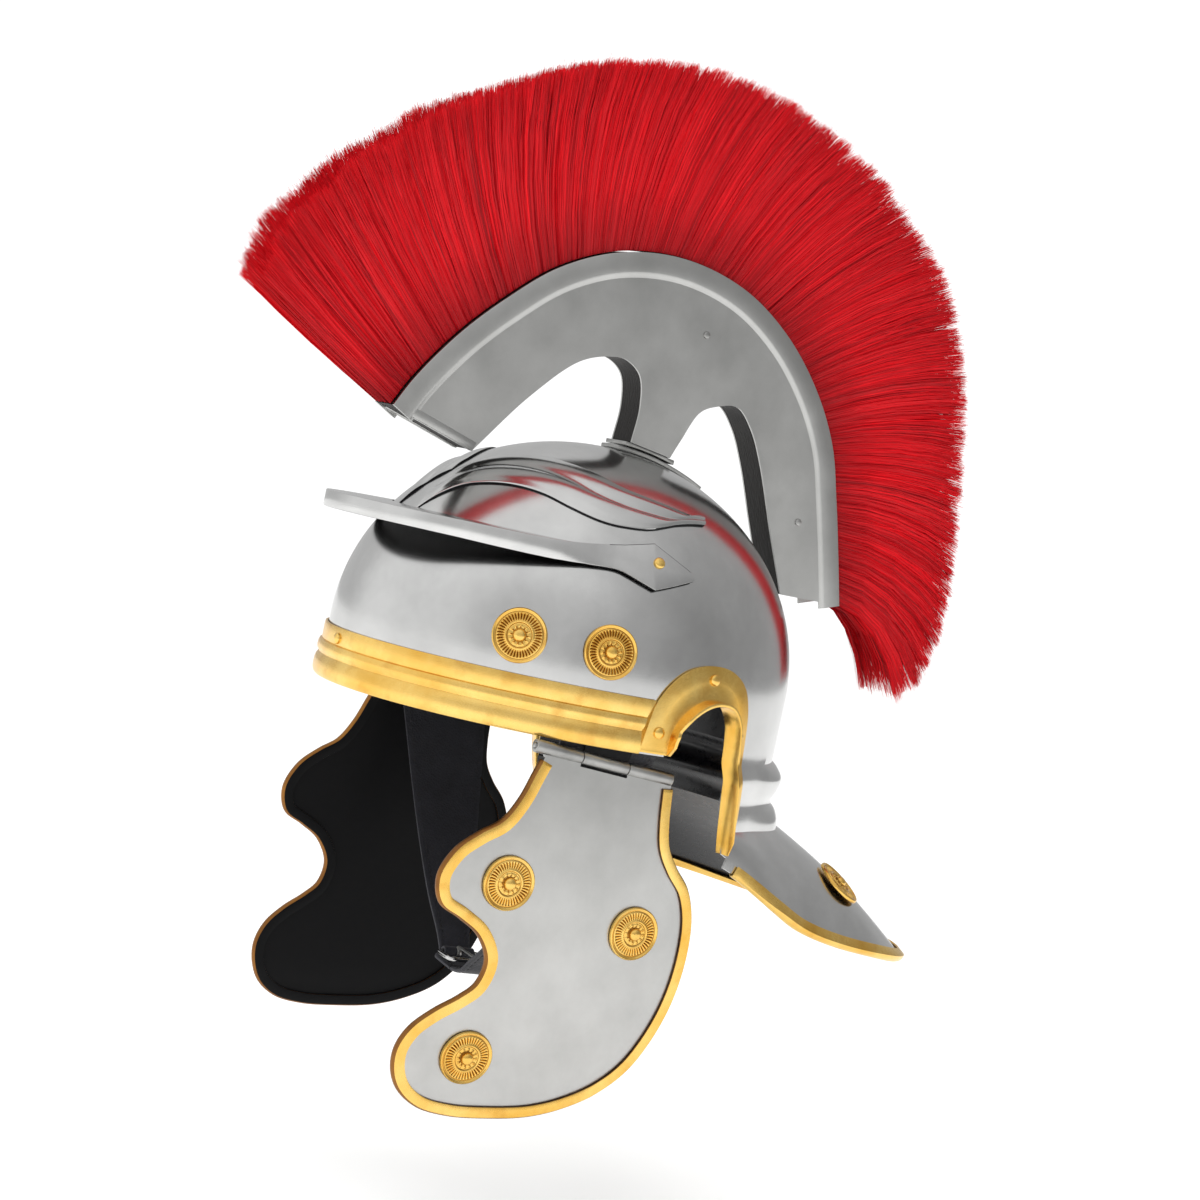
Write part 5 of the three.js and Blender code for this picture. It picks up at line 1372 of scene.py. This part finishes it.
def setCamera():
    a, e, r = (studio[key] * degree for key in ("azimuth", "elevation", "roll"))
    back = Vector((math.sin(a) * math.cos(e), -math.cos(a) * math.cos(e), math.sin(e)))
    level = Vector((math.cos(a), math.sin(a), 0))
    rise = back.cross(level)
    right, up = level * math.cos(r) + rise * math.sin(r), rise * math.cos(r) - level * math.sin(r)
    half = studio["frame"] / 2
    asideX = (studio["originX"] - half) / studio["pixelsPerMm"]
    asideY = (half - studio["originY"]) / studio["pixelsPerMm"]
    data = bpy.data.cameras.new("camera")
    data.sensor_width = 36
    data.sensor_fit = "HORIZONTAL"
    data.lens = 36 * studio["distance"] * studio["pixelsPerMm"] / studio["frame"]
    data.clip_start, data.clip_end = 0.01, 100
    camera = bpy.data.objects.new("camera", data)
    bpy.context.scene.collection.objects.link(camera)
    place = (back * studio["distance"] - right * asideX - up * asideY) / 1000
    camera.matrix_world = Matrix([(*row, at) for row,
                                  at in zip(zip(right, up, back), place)] + [(0, 0, 0, 1)])
    bpy.context.scene.camera = camera


def addSoftbox(name, place, size, power, target=(0, 0.02, 0.06)):
    data = bpy.data.lights.new(name, "AREA")
    data.shape = "RECTANGLE"
    data.size, data.size_y = size
    data.energy = power
    light = bpy.data.objects.new(name, data)
    bpy.context.scene.collection.objects.link(light)
    light.location = place
    light.visible_glossy = False  # the metal mirrors the white tent alone
    light.rotation_euler = (Vector(target) - Vector(place)).to_track_quat("-Z", "Y").to_euler()


def setFloor():
    turn = np.linspace(0, 2 * math.pi, 96, endpoint=False)
    verts = np.vstack([spread(radius * np.cos(turn), radius * np.sin(turn), studio["floor"]) / 1000
                       for radius in (studio["floorMiddle"], studio["floorRadius"])])
    mesh = bpy.data.meshes.new("floor")
    mesh.from_pydata(verts.tolist(), [], gridFaces(2, 96, around=True) + [list(range(96))])
    outward(mesh)
    material, tree = newMaterial("pale studio paper")
    place = addNode(tree, "ShaderNodeTexCoord").outputs["Object"]
    mottle = addNode(tree, "ShaderNodeTexNoise", values={"Scale": perMetre(60)}, links={"Vector": place})
    tone = addNode(tree, "ShaderNodeMix", {"data_type": "RGBA"},
                   {6: toLinear("#f7f7f6"), 7: toLinear("#fbfbfa")},
                   {0: mottle.outputs[0]}).outputs[2]
    # lit through from below
    glow = {"Roughness": 0.9, "Emission Color": toLinear("#ffffff"), "Emission Strength": 0.35}
    closeMaterial(tree, glow, {"Base Color": tone})
    mesh.materials.append(material)
    floor = bpy.data.objects.new("floor", mesh)
    bpy.context.scene.collection.objects.link(floor)


# a white tent, darker behind the helmet's left and round the camera, so that the metal has shape
def setWorld():
    world = bpy.data.worlds.new("soft studio")
    bpy.context.scene.world = world
    world.use_nodes = True
    tree = world.node_tree
    tree.nodes.clear()
    way = addNode(tree, "ShaderNodeTexCoord").outputs["Generated"]
    shade = None
    for direction, near, far, value in studio["darkSides"]:
        side = addNode(tree, "ShaderNodeVectorMath", {"operation": "DOT_PRODUCT"},
                       {1: Vector(direction).normalized()}, {0: way})
        soft = addNode(tree, "ShaderNodeMapRange", {"interpolation_type": "SMOOTHSTEP"},
                       {"From Min": far, "From Max": near, "To Min": 1.0, "To Max": value},
                       {"Value": side.outputs["Value"]})
        if shade is None:
            shade = soft.outputs[0]
        else:
            shade = addNode(tree, "ShaderNodeMath", {"operation": "MULTIPLY"},
                            links={0: shade, 1: soft.outputs[0]}).outputs[0]
    seen = addNode(tree, "ShaderNodeLightPath").outputs["Is Camera Ray"]
    strength = addNode(tree, "ShaderNodeMix", {"data_type": "FLOAT"}, {3: 1.1},
                       {0: seen, 2: shade}).outputs[0]
    light = addNode(tree, "ShaderNodeBackground", values={"Color": toLinear("#ffffff")},
                    links={"Strength": strength})
    addNode(tree, "ShaderNodeOutputWorld", links={"Surface": light.outputs[0]})


bpy.context.scene.view_settings.view_transform = "Standard"  # plain studio whites and full reds
setCamera()
setFloor()
setWorld()
addSoftbox("key softbox", (1.6, -1.6, 1.7), (1.4, 1.4), 22)
addSoftbox("fill softbox", (-1.2, -2.0, 0.6), (1.2, 1.8), 8)
addSoftbox("rim softbox", (0.8, 2.0, 1.4), (1.6, 0.8), 10)
print("studio set")
